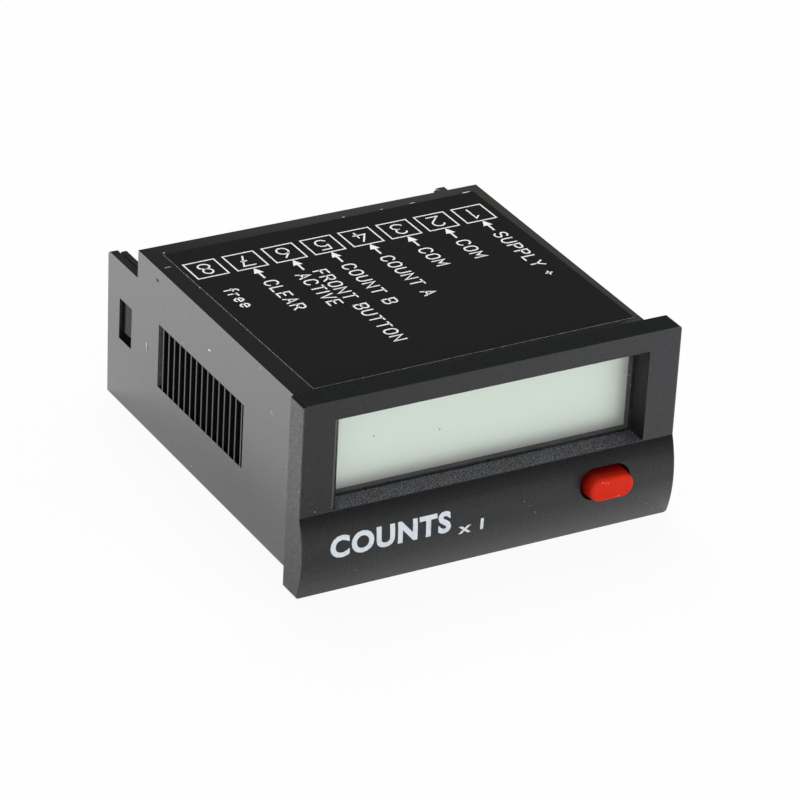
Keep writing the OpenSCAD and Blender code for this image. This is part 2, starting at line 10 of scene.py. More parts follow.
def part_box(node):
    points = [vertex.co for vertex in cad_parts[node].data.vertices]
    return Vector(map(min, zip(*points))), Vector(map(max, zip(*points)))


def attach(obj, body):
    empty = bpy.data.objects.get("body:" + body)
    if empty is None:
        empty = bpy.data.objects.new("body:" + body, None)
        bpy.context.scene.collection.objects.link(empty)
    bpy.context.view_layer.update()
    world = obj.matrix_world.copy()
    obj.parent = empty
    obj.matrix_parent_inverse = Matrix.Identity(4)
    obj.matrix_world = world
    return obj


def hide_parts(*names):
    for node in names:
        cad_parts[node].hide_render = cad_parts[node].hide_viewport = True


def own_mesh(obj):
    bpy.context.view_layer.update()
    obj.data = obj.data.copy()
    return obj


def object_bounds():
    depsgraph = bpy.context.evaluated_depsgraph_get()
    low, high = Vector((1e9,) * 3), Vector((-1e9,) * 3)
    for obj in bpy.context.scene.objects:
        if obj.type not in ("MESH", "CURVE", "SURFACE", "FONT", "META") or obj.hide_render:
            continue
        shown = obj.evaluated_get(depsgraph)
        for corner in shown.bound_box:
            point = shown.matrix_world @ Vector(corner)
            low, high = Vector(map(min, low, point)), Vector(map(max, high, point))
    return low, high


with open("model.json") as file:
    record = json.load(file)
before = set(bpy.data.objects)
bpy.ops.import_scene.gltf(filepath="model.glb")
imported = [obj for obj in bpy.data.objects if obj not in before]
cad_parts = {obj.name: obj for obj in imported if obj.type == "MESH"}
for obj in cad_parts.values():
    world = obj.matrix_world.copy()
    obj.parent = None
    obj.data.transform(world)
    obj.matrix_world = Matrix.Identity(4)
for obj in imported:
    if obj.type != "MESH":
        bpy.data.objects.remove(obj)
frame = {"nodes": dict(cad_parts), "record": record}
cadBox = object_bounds()
nodes = frame["nodes"]
scene = bpy.context.scene
mm = 0.001
random.seed(11)
print("frame loaded:", len(nodes), "nodes")


# camera

cameraView = {
    "azimuth": -30.461,  # degrees, seen from the front left
    "elevation": 28.174,
    "roll": 3.254,
    "distance": 518.256 * mm,
    "aim": (0, 20 * mm, 0),
    "slide": (1.042 * mm, -3.212 * mm),  # aim moved right and up in the picture
    "focal": 4512.489,  # in pixels of the frame
    "frameWidth": 800,
    "sensor": 36,
}


def placeCamera(view):
    turn, rise, roll = (math.radians(view[k]) for k in ("azimuth", "elevation", "roll"))
    back = Vector((math.sin(turn) * math.cos(rise), -math.cos(turn) * math.cos(rise), math.sin(rise)))
    level = Vector((0, 0, 1)).cross(back).normalized()
    upright = back.cross(level)
    right = level * math.cos(roll) + upright * math.sin(roll)
    up = upright * math.cos(roll) - level * math.sin(roll)
    slideRight, slideUp = view["slide"]
    eye = Vector(view["aim"]) + right * slideRight + up * slideUp + back * view["distance"]
    lens = bpy.data.cameras.new("camera")
    lens.sensor_fit = "HORIZONTAL"
    lens.sensor_width = view["sensor"]
    lens.lens = view["focal"] * view["sensor"] / view["frameWidth"]
    lens.clip_start = 0.01
    camera = bpy.data.objects.new("camera", lens)
    axes = Matrix((right, up, back)).transposed().to_4x4()
    camera.matrix_world = Matrix.Translation(eye) @ axes
    scene.collection.objects.link(camera)
    scene.camera = camera


placeCamera(cameraView)
print("camera placed")


# node helpers

noiseSpan = (0.3, 0.7)  # where most values of a noise lie


def spotOn(tree):
    return tree.nodes.new("ShaderNodeTexCoord").outputs["Object"]


def noise(tree, scale, detail=2.0, rough=0.5):
    cloud = tree.nodes.new("ShaderNodeTexNoise")
    cloud.inputs["Scale"].default_value = scale
    cloud.inputs["Detail"].default_value = detail
    cloud.inputs["Roughness"].default_value = rough
    tree.links.new(spotOn(tree), cloud.inputs["Vector"])
    return cloud.outputs["Fac"]


def remap(tree, value, low, high, toLow, toHigh, smooth=False):
    ramp = tree.nodes.new("ShaderNodeMapRange")
    if smooth:
        ramp.interpolation_type = "SMOOTHSTEP"
    for key, number in (("From Min", low), ("From Max", high), ("To Min", toLow), ("To Max", toHigh)):
        ramp.inputs[key].default_value = number
    tree.links.new(value, ramp.inputs["Value"])
    return ramp.outputs["Result"]


def blendColour(tree, share, first, second):
    mix = tree.nodes.new("ShaderNodeMix")
    mix.data_type = "RGBA"
    for slot, colour in ((6, first), (7, second)):
        if isinstance(colour, tuple):
            mix.inputs[slot].default_value = colour + (1,)
        else:
            tree.links.new(colour, mix.inputs[slot])
    tree.links.new(share, mix.inputs[0])
    return mix.outputs[2]


def blendValue(tree, share, first, second):
    mix = tree.nodes.new("ShaderNodeMix")
    for slot, number in ((2, first), (3, second)):
        if isinstance(number, (int, float)):
            mix.inputs[slot].default_value = number
        else:
            tree.links.new(number, mix.inputs[slot])
    tree.links.new(share, mix.inputs[0])
    return mix.outputs[0]


def calc(tree, kind, first, second):
    sums = tree.nodes.new("ShaderNodeMath")
    sums.operation = kind
    for slot, number in ((0, first), (1, second)):
        if isinstance(number, (int, float)):
            sums.inputs[slot].default_value = number
        else:
            tree.links.new(number, sums.inputs[slot])
    return sums.outputs[0]


def stepsAlong(tree, value, stops):
    # value in mm turned into a level by a few stops
    reach = stops[-1][0]
    ramp = tree.nodes.new("ShaderNodeValToRGB")
    marks = ramp.color_ramp.elements
    while len(marks) < len(stops):
        marks.new(1)
    for mark, (place, level) in zip(marks, stops):
        mark.position = place / reach
        mark.color = (level, level, level, 1)
    tree.links.new(remap(tree, value, 0, reach * mm, 0, 1), ramp.inputs["Fac"])
    return ramp.outputs["Color"]


def raiseGrain(tree, shader, height, depth):
    bump = tree.nodes.new("ShaderNodeBump")
    bump.inputs["Distance"].default_value = depth
    tree.links.new(height, bump.inputs["Height"])
    tree.links.new(bump.outputs[0], shader.inputs["Normal"])


# studio

studio = {
    "skyDiffuse": 0.43,  # level of the room's fill
    "skyLow": 0.35,  # what gloss sees at the horizon
    "skyHigh": 0.05,  # and higher up
    "skyFrom": -0.02,  # sine of the height where it starts to fall
    "skyTo": 0.12,
    "floorGlow": 0.93,  # share of the floor that is plain white to the camera
    # painted light: where gloss sees the floor, its glow is raised by place to light the body's
    # reflections
    "sideGloss": (0.12, 0.42),  # and to gloss, beside the body, from its front to its rear
    "sideSpan": (20 * mm, 75 * mm),
    "nearGloss": 0.25,  # added close to the body's foot
    "nearSpan": (-27.5 * mm, -22.4 * mm),
    "farGloss": 0.45,  # added away from the body
    "farSpan": (-31 * mm, -44 * mm),
    "frontGloss": (0.10, 1.0),  # and ahead of the bezel, from its left to its right
    "frontSpan": (-25 * mm, 38 * mm),
    "frontEdge": (-12 * mm, 6 * mm),
    "frontEnd": (-75 * mm, -48 * mm),  # where that fades out
    "floorSize": 4.0,
    "floorColour": (0.86, 0.86, 0.86, 1),
    "bodyLow": (48 * mm, -11.25 * mm),  # lower rear edge of the body, which rests on the floor
    "lampAim": (0, 20 * mm, 0),
    "lamps": [
        # name, place, size, watts
        ("lampOverhead", (0.15, 0.40, 0.70), 0.50, 4.1),
        ("lampFront", (-0.30, -0.75, 0.20), 0.50, 2.4),
        ("lampRight", (0.35, -0.45, 0.12), 0.30, 0.7),
    ],
}


def lightSky(setup):
    world = bpy.data.worlds.new("studioSky")
    scene.world = world
    world.use_nodes = True
    tree = world.node_tree
    tree.nodes.clear()
    link = tree.links.new
    output = tree.nodes.new("ShaderNodeOutputWorld")
    path = tree.nodes.new("ShaderNodeLightPath")
    height = tree.nodes.new("ShaderNodeSeparateXYZ")
    link(tree.nodes.new("ShaderNodeTexCoord").outputs["Generated"], height.inputs[0])
    fill, gloss, white = (tree.nodes.new("ShaderNodeBackground") for _ in range(3))
    for part, level in ((fill, setup["skyDiffuse"]), (gloss, 1), (white, 1)):
        part.inputs["Color"].default_value = (1, 1, 1, 1)
        part.inputs["Strength"].default_value = level
    span = (setup["skyFrom"], setup["skyTo"], setup["skyLow"], setup["skyHigh"])
    link(remap(tree, height.outputs["Z"], *span, smooth=True), gloss.inputs["Strength"])
    clear = calc(tree, "MAXIMUM", path.outputs["Is Camera Ray"], path.outputs["Is Transmission Ray"])
    glossMix = tree.nodes.new("ShaderNodeMixShader")
    cameraMix = tree.nodes.new("ShaderNodeMixShader")
    for mix, share, first, second in (
        (glossMix, path.outputs["Is Glossy Ray"], fill, gloss),
        (cameraMix, clear, glossMix, white),
    ):
        link(share, mix.inputs[0])
        link(first.outputs[0], mix.inputs[1])
        link(second.outputs[0], mix.inputs[2])
    link(cameraMix.outputs[0], output.inputs["Surface"])


def layFloor(setup):
    # touches the bezel's lower edge and the body's lower rear edge
    low = cadBox[0]
    tilt = math.atan2(setup["bodyLow"][1] - low.z, setup["bodyLow"][0])
    bpy.ops.mesh.primitive_plane_add(size=setup["floorSize"], location=(0, 0, low.z))
    floor = bpy.context.object
    floor.name = "studioFloor"
    floor.rotation_euler = (tilt, 0, 0)
    material = bpy.data.materials.new("studioFloor")
    material.use_nodes = True
    tree = material.node_tree
    tree.nodes.clear()
    link = tree.links.new
    output = tree.nodes.new("ShaderNodeOutputMaterial")
    path = tree.nodes.new("ShaderNodeLightPath")
    matt = tree.nodes.new("ShaderNodeBsdfDiffuse")
    matt.inputs["Color"].default_value = setup["floorColour"]
    glow = tree.nodes.new("ShaderNodeEmission")
    clear = calc(tree, "MAXIMUM", path.outputs["Is Camera Ray"], path.outputs["Is Transmission Ray"])
    clearShare = calc(tree, "MULTIPLY", clear, setup["floorGlow"])
    place = tree.nodes.new("ShaderNodeSeparateXYZ")
    link(spotOn(tree), place.inputs[0])
    # painted light: the floor's glow to gloss, raised by place
    near = remap(tree, place.outputs["Y"], *setup["frontEdge"], 1, 0)
    ahead = calc(tree, "MULTIPLY", near, remap(tree, place.outputs["Y"], *setup["frontEnd"], 0, 1))
    front = remap(tree, place.outputs["X"], *setup["frontSpan"], *setup["frontGloss"])
    along = remap(tree, place.outputs["Y"], *setup["sideSpan"], *setup["sideGloss"])
    foot = remap(tree, place.outputs["X"], *setup["nearSpan"], 0, setup["nearGloss"])
    away = remap(tree, place.outputs["X"], *setup["farSpan"], 0, setup["farGloss"])
    beside = calc(tree, "ADD", along, calc(tree, "ADD", foot, away))
    gloss = blendValue(tree, ahead, beside, front)
    glossShare = calc(tree, "MULTIPLY", path.outputs["Is Glossy Ray"], gloss)
    mix = tree.nodes.new("ShaderNodeMixShader")
    link(calc(tree, "MAXIMUM", clearShare, glossShare), mix.inputs[0])
    link(matt.outputs[0], mix.inputs[1])
    link(glow.outputs[0], mix.inputs[2])
    link(mix.outputs[0], output.inputs["Surface"])
    floor.data.materials.append(material)


def hangLamps(setup):
    for name, place, size, watts in setup["lamps"]:
        lamp = bpy.data.lights.new(name, "AREA")
        lamp.shape = "DISK"
        lamp.size = size
        lamp.energy = watts
        holder = bpy.data.objects.new(name, lamp)
        holder.location = place
        aim = Vector(setup["lampAim"]) - Vector(place)
        holder.rotation_euler = aim.to_track_quat("-Z", "Y").to_euler()
        holder.visible_glossy = False
        scene.collection.objects.link(holder)


lightSky(studio)
layFloor(studio)
hangLamps(studio)
scene.view_settings.view_transform = "Standard"
print("studio lit")


# finishes

def startFinish(name, level=0.5):
    finish = bpy.data.materials.new(name)
    finish.use_nodes = True
    tree = finish.node_tree
    shader = tree.nodes["Principled BSDF"]
    shader.inputs["Specular IOR Level"].default_value = level
    return finish, tree, shader


patchSize = 12  # patches in a plastic are this many times as large as its grain


def mouldedPlastic(name, dark, light, rough, grain, depth, level=0.5):
    # speckled plastic with a fine moulded skin
    finish, tree, shader = startFinish(name, level)
    patch = noise(tree, grain / patchSize, 3)
    colour = blendColour(tree, remap(tree, patch, *noiseSpan, 0, 1), dark, light)
    tree.links.new(colour, shader.inputs["Base Color"])
    tree.links.new(remap(tree, patch, *noiseSpan, *rough), shader.inputs["Roughness"])
    raiseGrain(tree, shader, noise(tree, grain, 2), depth * mm)
    return finish


metalSkin = {
    "grain": 1500,  # per metre
    "depth": 0.004 * mm,
    "spread": 1.6,  # roughness of the dullest lines against the brightest
}


def metal(name, dark, light, rough, brush):
    # plated or tinned metal with faint drawing lines
    finish, tree, shader = startFinish(name)
    shader.inputs["Metallic"].default_value = 1
    stretch = tree.nodes.new("ShaderNodeMapping")
    stretch.inputs["Scale"].default_value = brush
    cloud = tree.nodes.new("ShaderNodeTexNoise")
    cloud.inputs["Scale"].default_value = metalSkin["grain"]
    tree.links.new(spotOn(tree), stretch.inputs["Vector"])
    tree.links.new(stretch.outputs[0], cloud.inputs["Vector"])
    lines = cloud.outputs["Fac"]
    tree.links.new(blendColour(tree, lines, dark, light), shader.inputs["Base Color"])
    roughness = remap(tree, lines, *noiseSpan, rough, rough * metalSkin["spread"])
    tree.links.new(roughness, shader.inputs["Roughness"])
    raiseGrain(tree, shader, lines, metalSkin["depth"])
    return finish


housingLook = {
    "bodyFrom": (0.01 * mm, 0.06 * mm),  # where the bezel ends and the body begins
    "turned": (0.45, 0.85),  # how far a face turns to count as upward or sideways
    "sparkSpan": (0.42, 0.62),  # noise levels from dark to light spots
    "sillSpan": (0.44, 0.66),
    "mottleSpan": (0.35, 0.65),
    "bezelDark": (0.0055, 0.0058, 0.0066),
    "bezelLight": (0.0220, 0.0228, 0.0246),
    # painted light: the bar and the posts are darker at their left end and lighter at their right, as
    # the light falls
    "leftDark": (0.0045, 0.0047, 0.0055),  # of the bar and the posts, at the left end
    "leftLight": (0.0120, 0.0125, 0.0140),
    "rightDark": (0.0170, 0.0176, 0.0200),  # and at the right end
    "rightLight": (0.0280, 0.0290, 0.0320),
    "barSpan": (-24 * mm, 24 * mm),
    # painted light: faces that look up get a colour of their own, set for how the light falls on them
    "topDark": (0.0090, 0.0108, 0.0108),  # on faces that look up
    "topLight": (0.0150, 0.0176, 0.0176),
    # painted glints: the sill's light spots stand in for light caught by its grain
    "sillDark": (0.0010, 0.0010, 0.0020),  # spots on the sill under the window
    "sillLight": (0.2600, 0.2560, 0.3050),
    "bezelRough": (0.26, 0.38),
    "bezelGrain": 5800,  # per metre
    "bezelDepth": 0.03 * mm,
    "sillDepth": 2.2,  # depth of the sill's grain against the front's
    "bodyDark": (0.0090, 0.0090, 0.0095),
    "bodyLight": (0.0112, 0.0112, 0.0118),
    "bodyRough": (0.24, 0.30),
    "bodyCloud": 180,
    "bodyGrain": 2500,
    "bodySkin": 0.012,  # depth of the body's skin against the bezel's
    # painted sheen: the roof strips behind the label and right of it are lighter, less so at the left
    # end
    "stripSheenColour": (0.043, 0.043, 0.038),  # of the roof behind the label and right of it
    "stripY": (34 * mm, 40 * mm),
    "stripX": (19 * mm, 21 * mm),
    "stripFrom": (-23 * mm, 2 * mm),
    "stripLeast": 0.1,  # its share at the left end
    "level": 0.5,
    "coatRough": 0.08,
    "coatIor": 1.9,
    "sideCoat": (0.30, 0.64),  # gloss of the bezel's sides against the body's
    "sideGrain": 2400,
    "sideFrom": (23.85 * mm, 23.9 * mm),
    "panelCoat": 0.6,  # of the lower panel at its foot
    "panelSpan": (-11.5 * mm, -6.8 * mm),
    "panelTop": (-1.88 * mm, -1.86 * mm),
    "panelShade": 0.1,  # colour just under the sill against the rest of the panel
    "shadeSpan": (-2.2 * mm, -6.0 * mm),
    "sillZ": (-1.86 * mm, -1.72 * mm),
    "sillRough": 0.55,
    "pocketX": (19.92 * mm, 20.04 * mm),  # sides of the window's pocket
    "pocketRough": 0.62,
    # painted shade on the housing round the display, behind the pane
    "insideShadeColour": (0.0015, 0.0015, 0.0016),  # round the display, behind the pane
    "insideX": (-1 * mm, 20.7 * mm),
    "insideY": (-0.28 * mm, 6 * mm),
    "insideZ": (-10.3 * mm, 9.75 * mm),
    # painted shade in the rack's grooves
    "rackShadeColour": (0.0025, 0.0025, 0.0027),
    # painted highlight on the wall at the rack's rear end
    "rackEndHighlightColour": (0.10, 0.10, 0.102),  # of the wall at the rack's rear end
    "rackEndY": (34.93 * mm, 35 * mm),
    "rackX": (-1 * mm, 22.33 * mm),
    "rackY": (13.6 * mm, 34.92 * mm),
    "rackZ": (-4.4 * mm, 3.7 * mm),
    "landLoss": 0.62,  # gloss that the rack's lands lack
}


def within(tree, value, span, soft=0.02 * mm):
    # 1 between two places, 0 outside them
    above = remap(tree, value, span[0], span[0] + soft, 0, 1)
    below = remap(tree, value, span[1] - soft, span[1], 1, 0)
    return calc(tree, "MULTIPLY", above, below)


def housingPlastic(look):
    # spark textured bezel in front of the panel, glossy body behind it
    finish, tree, shader = startFinish("housingPlastic", look["level"])
    link = tree.links.new
    coords = tree.nodes.new("ShaderNodeTexCoord")
    place, facing = (tree.nodes.new("ShaderNodeSeparateXYZ") for _ in range(2))
    link(coords.outputs["Object"], place.inputs[0])
    link(coords.outputs["Normal"], facing.inputs[0])
    x = calc(tree, "ABSOLUTE", place.outputs["X"], 0)
    y, z = place.outputs["Y"], place.outputs["Z"]
    body = remap(tree, y, *look["bodyFrom"], 0, 1)
    upward = remap(tree, facing.outputs["Z"], *look["turned"], 0, 1)
    onSill = calc(tree, "MULTIPLY", upward, within(tree, z, look["sillZ"]))
    sideways = remap(tree, calc(tree, "ABSOLUTE", facing.outputs["X"], 0), *look["turned"], 0, 1)
    pocket = calc(tree, "MULTIPLY", sideways, within(tree, x, look["pocketX"]))
    inward = within(tree, x, look["rackX"])
    rackHeight = within(tree, z, look["rackZ"])
    rackSide = calc(tree, "MULTIPLY", within(tree, y, look["rackY"]), rackHeight)
    rack = calc(tree, "MULTIPLY", inward, rackSide)
    endSpan = calc(tree, "MULTIPLY", within(tree, y, look["rackEndY"]), rackHeight)
    rackEnd = calc(tree, "MULTIPLY", inward, endSpan)
    insideX, insideY, insideZ = (
        within(tree, axis, look[key]) for axis, key in ((x, "insideX"), (y, "insideY"), (z, "insideZ"))
    )
    inside = calc(tree, "MULTIPLY", calc(tree, "MULTIPLY", insideX, insideZ), insideY)
    spark = noise(tree, look["bezelGrain"], 2, 0.6)
    cloud = noise(tree, look["bodyCloud"], 4)
    sparkSpots = remap(tree, spark, *look["sparkSpan"], 0, 1)
    sillSpots = remap(tree, spark, *look["sillSpan"], 0, 1)
    bodyClouds = remap(tree, cloud, *noiseSpan, 0, 1)
    sparkColour = blendColour(tree, sparkSpots, look["bezelDark"], look["bezelLight"])
    leftColour = blendColour(tree, sparkSpots, look["leftDark"], look["leftLight"])
    rightColour = blendColour(tree, sparkSpots, look["rightDark"], look["rightLight"])
    # painted light across the bar and the posts, dark at the left end, light at the right
    barShare = remap(tree, place.outputs["X"], *look["barSpan"], 0, 1)
    frontBar = blendColour(tree, barShare, leftColour, rightColour)
    # painted shade: the window pocket's sides take the darkest bar colour
    barColour = blendColour(tree, pocket, frontBar, leftColour)
    # painted shade, darkest just under the sill
    shade = remap(tree, z, *look["shadeSpan"], 1 - look["panelShade"], 0)
    panelColour = blendColour(tree, shade, sparkColour, (0, 0, 0))
    onPanel = remap(tree, z, *look["panelTop"], 1, 0)
    frontColour = blendColour(tree, onPanel, barColour, panelColour)
    # painted light: own colour for faces that look up
    topColour = blendColour(tree, sparkSpots, look["topDark"], look["topLight"])
    # painted glints on the sill's grain
    sillColour = blendColour(tree, sillSpots, look["sillDark"], look["sillLight"])
    upColour = blendColour(tree, onSill, topColour, sillColour)
    bezelColour = blendColour(tree, upward, frontColour, upColour)
    bodyColour = blendColour(tree, bodyClouds, look["bodyDark"], look["bodyLight"])
    # painted sheen on the roof strips round the label
    stripRight = remap(tree, place.outputs["X"], *look["stripX"], 0, 1)
    stripFrom = remap(tree, place.outputs["X"], *look["stripFrom"], look["stripLeast"], 1)
    stripRear = calc(tree, "MULTIPLY", stripFrom, remap(tree, y, *look["stripY"], 0, 1))
    strips = calc(tree, "MULTIPLY", calc(tree, "MAXIMUM", stripRight, stripRear), upward)
    roofColour = blendColour(tree, strips, bodyColour, look["stripSheenColour"])
    # painted shade in the rack's grooves
    sideColour = blendColour(tree, rack, roofColour, look["rackShadeColour"])
    # painted highlight on the wall at the rack's rear end
    wallColour = blendColour(tree, rackEnd, sideColour, look["rackEndHighlightColour"])
    outerColour = blendColour(tree, body, bezelColour, wallColour)
    # painted shade round the display, behind the pane
    link(blendColour(tree, inside, outerColour, look["insideShadeColour"]), shader.inputs["Base Color"])
    sparkRough = remap(tree, spark, *noiseSpan, *look["bezelRough"])
    sillRough = blendValue(tree, onSill, sparkRough, look["sillRough"])
    bezelRough = blendValue(tree, calc(tree, "MAXIMUM", pocket, inside), sillRough, look["pocketRough"])
    bodyRough = remap(tree, cloud, *noiseSpan, *look["bodyRough"])
    link(blendValue(tree, body, bezelRough, bodyRough), shader.inputs["Roughness"])
    onSide = remap(tree, x, *look["sideFrom"], 0, 1)
    mottle = noise(tree, look["sideGrain"], 3, 0.6)
    sideGloss = remap(tree, mottle, *look["mottleSpan"], *look["sideCoat"])
    sideCoat = calc(tree, "MULTIPLY", onSide, sideGloss)
    panelCoat = remap(tree, z, *look["panelSpan"], look["panelCoat"], 0)
    bezelCoat = calc(tree, "MAXIMUM", sideCoat, panelCoat)
    rackLoss = calc(tree, "MULTIPLY", rackSide, blendValue(tree, inward, look["landLoss"], 1))
    wallCoat = calc(tree, "SUBTRACT", 1, calc(tree, "MAXIMUM", rackLoss, inside))
    link(blendValue(tree, body, bezelCoat, wallCoat), shader.inputs["Coat Weight"])
    shader.inputs["Coat Roughness"].default_value = look["coatRough"]
    shader.inputs["Coat IOR"].default_value = look["coatIor"]
    grain = calc(tree, "MULTIPLY", spark, blendValue(tree, onSill, 1, look["sillDepth"]))
    skin = calc(tree, "MULTIPLY", noise(tree, look["bodyGrain"], 2), look["bodySkin"])
    raiseGrain(tree, shader, blendValue(tree, body, grain, skin), look["bezelDepth"])
    return finish


keyLook = {
    "dark": (0.60, 0.015, 0.002),
    "light": (0.65, 0.020, 0.003),
    # painted shade at the key's foot, in its hole
    "shade": (0.16, 0.002, 0.001),  # at the key's foot, in its hole
    "span": (-5.35 * mm, -3.9 * mm),  # from the face to the foot
    "rough": (0.34, 0.44),
    "grain": 4200,
    "depth": 0.012 * mm,
    "level": 0.16,
}


def keyPlastic(look):
    # red plastic with painted shade towards its foot
    finish, tree, shader = startFinish("redPlastic", look["level"])
    place = tree.nodes.new("ShaderNodeSeparateXYZ")
    tree.links.new(spotOn(tree), place.inputs[0])
    patch = remap(tree, noise(tree, look["grain"] / patchSize, 3), *noiseSpan, 0, 1)
    clean = blendColour(tree, patch, look["dark"], look["light"])
    # painted shade, darker towards the foot
    foot = remap(tree, place.outputs["Y"], *look["span"], 0, 1)
    tree.links.new(blendColour(tree, foot, clean, look["shade"]), shader.inputs["Base Color"])
    tree.links.new(remap(tree, patch, 0, 1, *look["rough"]), shader.inputs["Roughness"])
    raiseGrain(tree, shader, noise(tree, look["grain"], 2), look["depth"])
    return finish


displayLook = {
    "centre": (0.744, 0.847, 0.768),
    "centreWarm": (0.761, 0.857, 0.748),
    # colour of the painted shade at the film's rim
    "rim": (0.34, 0.34, 0.335),
    # mm from the film's edge, share of the clear colour there; the rest is painted shade, with a thin
    # painted lighter line near the bottom
    "left": [(0, 0.3), (0.5, 0.8), (1.2, 1)],
    "right": [(0, 0.12), (0.07, 0.17), (0.57, 0.48), (1.07, 0.80), (1.57, 0.99), (2.1, 1)],
    "bottom": [
        (0, 0.04), (0.2, 0.08), (0.44, 0.24), (0.56, 0.35), (0.64, 0.3), (0.77, 0.42),
        (1.12, 0.62), (1.72, 0.86), (2.42, 0.95), (3.42, 0.99), (4.92, 1),
    ],
    "top": [(0, 0.3), (1, 1)],
    "cloud": 90,
    "rough": 0.45,
    "grain": 9000,
    "depth": 0.002 * mm,
}


def displayFilm(look):
    # pale reflective film with painted shade that darkens it softly towards its rim
    finish, tree, shader = startFinish("displayFilm")
    low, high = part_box("lcd_films")
    place = tree.nodes.new("ShaderNodeSeparateXYZ")
    tree.links.new(spotOn(tree), place.inputs[0])
    gaps = {
        "left": calc(tree, "SUBTRACT", place.outputs["X"], low.x),
        "right": calc(tree, "SUBTRACT", high.x, place.outputs["X"]),
        "bottom": calc(tree, "SUBTRACT", place.outputs["Z"], low.z),
        "top": calc(tree, "SUBTRACT", high.z, place.outputs["Z"]),
    }
    sides = [stepsAlong(tree, gap, look[side]) for side, gap in gaps.items()]
    across = calc(tree, "MULTIPLY", sides[0], sides[1])
    share = calc(tree, "MULTIPLY", across, calc(tree, "MULTIPLY", sides[2], sides[3]))
    tinted = blendColour(tree, noise(tree, look["cloud"], 3), look["centre"], look["centreWarm"])
    tree.links.new(blendColour(tree, share, look["rim"], tinted), shader.inputs["Base Color"])
    shader.inputs["Roughness"].default_value = look["rough"]
    raiseGrain(tree, shader, noise(tree, look["grain"], 1), look["depth"])
    return finish


paneLook = {
    "colour": (0.30, 0.31, 0.31, 1),
    "alpha": 0.05,
    "cloud": 120,
    "rough": (0.03, 0.1),
}


def clearPane(look):
    finish, tree, shader = startFinish("clearPane")
    shader.inputs["Base Color"].default_value = look["colour"]
    shader.inputs["Alpha"].default_value = look["alpha"]
    cloud = noise(tree, look["cloud"], 3)
    tree.links.new(remap(tree, cloud, *noiseSpan, *look["rough"]), shader.inputs["Roughness"])
    return finish


boardLook = {
    # mask colours darkened near black as painted shade for the board inside the housing
    "mask": ((0.005, 0.034, 0.013, 1), (0.006, 0.040, 0.016, 1)),
    "track": (0.009, 0.062, 0.024, 1),
    "scale": 260,
    "trackWidth": 0.06,
    "cloud": 900,
    "rough": (0.25, 0.4),
}


def boardMask(look):
    # green mask with faint tracks, darkened as painted shade
    finish, tree, shader = startFinish("boardMask")
    lines = tree.nodes.new("ShaderNodeTexBrick")
    lines.inputs["Scale"].default_value = look["scale"]
    lines.inputs["Color1"].default_value, lines.inputs["Color2"].default_value = look["mask"]
    lines.inputs["Mortar"].default_value = look["track"]
    lines.inputs["Mortar Size"].default_value = look["trackWidth"]
    tree.links.new(spotOn(tree), lines.inputs["Vector"])
    tree.links.new(lines.outputs["Color"], shader.inputs["Base Color"])
    cloud = noise(tree, look["cloud"], 2)
    tree.links.new(remap(tree, cloud, *noiseSpan, *look["rough"]), shader.inputs["Roughness"])
    return finish


printSkin = {
    "grain": 2600,
    "coverSpan": (0.3, 0.6),  # noise levels from thin to full cover
    "roughMore": 0.12,
}


def sheetPrint(name, dark, light, rough):
    # ink or dust with a slightly uneven cover
    finish, tree, shader = startFinish(name)
    cover = noise(tree, printSkin["grain"], 3)
    colour = blendColour(tree, remap(tree, cover, *printSkin["coverSpan"], 0, 1), dark, light)
    tree.links.new(colour, shader.inputs["Base Color"])
    roughness = remap(tree, cover, *noiseSpan, rough, rough + printSkin["roughMore"])
    tree.links.new(roughness, shader.inputs["Roughness"])
    return finish


def grey(level, blue=0.0):
    return (level, level * (1 + blue / 2), level * (1 + blue))


plasticLooks = {
    # slot: name, two colours, roughness, grain per metre, its depth in mm, gloss level if unusual
    "lcd_frame": ("framePaint", grey(0.072), grey(0.080), (0.44, 0.5), 6000, 0.002),
    "lcd_glass": ("displayGlass", (0.20, 0.22, 0.20), (0.24, 0.26, 0.24), (0.08, 0.12), 900, 0.001),
    "white_plastic": ("whitePlastic", grey(0.66), grey(0.74), (0.45, 0.55), 4000, 0.008),
    "zebra": ("stripedRubber", grey(0.03), grey(0.30), (0.6, 0.7), 3000, 0.004),
    "chip": ("chipEpoxy", grey(0.012), grey(0.022), (0.45, 0.6), 9000, 0.006),
    "silicone": ("greySilicone", grey(0.42, 0.06), grey(0.5, 0.06), (0.5, 0.62), 3000, 0.004),
    "can": ("canSleeve", (0.02, 0.024, 0.05), (0.03, 0.036, 0.07), (0.3, 0.4), 2500, 0.004),
    "chip_cap": ("tanCeramic", (0.30, 0.20, 0.10), (0.42, 0.30, 0.17), (0.5, 0.6), 6000, 0.004),
    "block": ("blockPlastic", grey(0.016, 0.05), grey(0.026, 0.05), (0.36, 0.48), 5000, 0.012),
    "cover": ("coverPlastic", grey(0.020, 0.05), grey(0.028, 0.05), (0.32, 0.44), 5000, 0.010),
    "label": ("labelFilm", grey(0.0120), grey(0.0134), (0.36, 0.40), 5200, 0.0012, 0.4),
    "edge": ("edgePlastic", grey(0.012), grey(0.018), (0.12, 0.18), 4200, 0.001, 1.0),
}
printLooks = {
    # finish: two colours, roughness
    "labelInk": (grey(0.84, -0.02), grey(0.93, -0.02), 0.5),
    # painted highlight on the label's edge
    "labelRimHighlight": (grey(0.22), grey(0.62), 0.5),
    "panelInk": ((0.62, 0.67, 0.73), (0.70, 0.75, 0.80), 0.45),
    "dust": (grey(0.70), grey(0.92), 0.6),
    "paleDust": (grey(0.10), grey(0.24), 0.6),
    # dark specks of dirt, and a painted shadow beside a scratch
    "dirtAndShade": (grey(0.003), grey(0.006), 0.6),
}
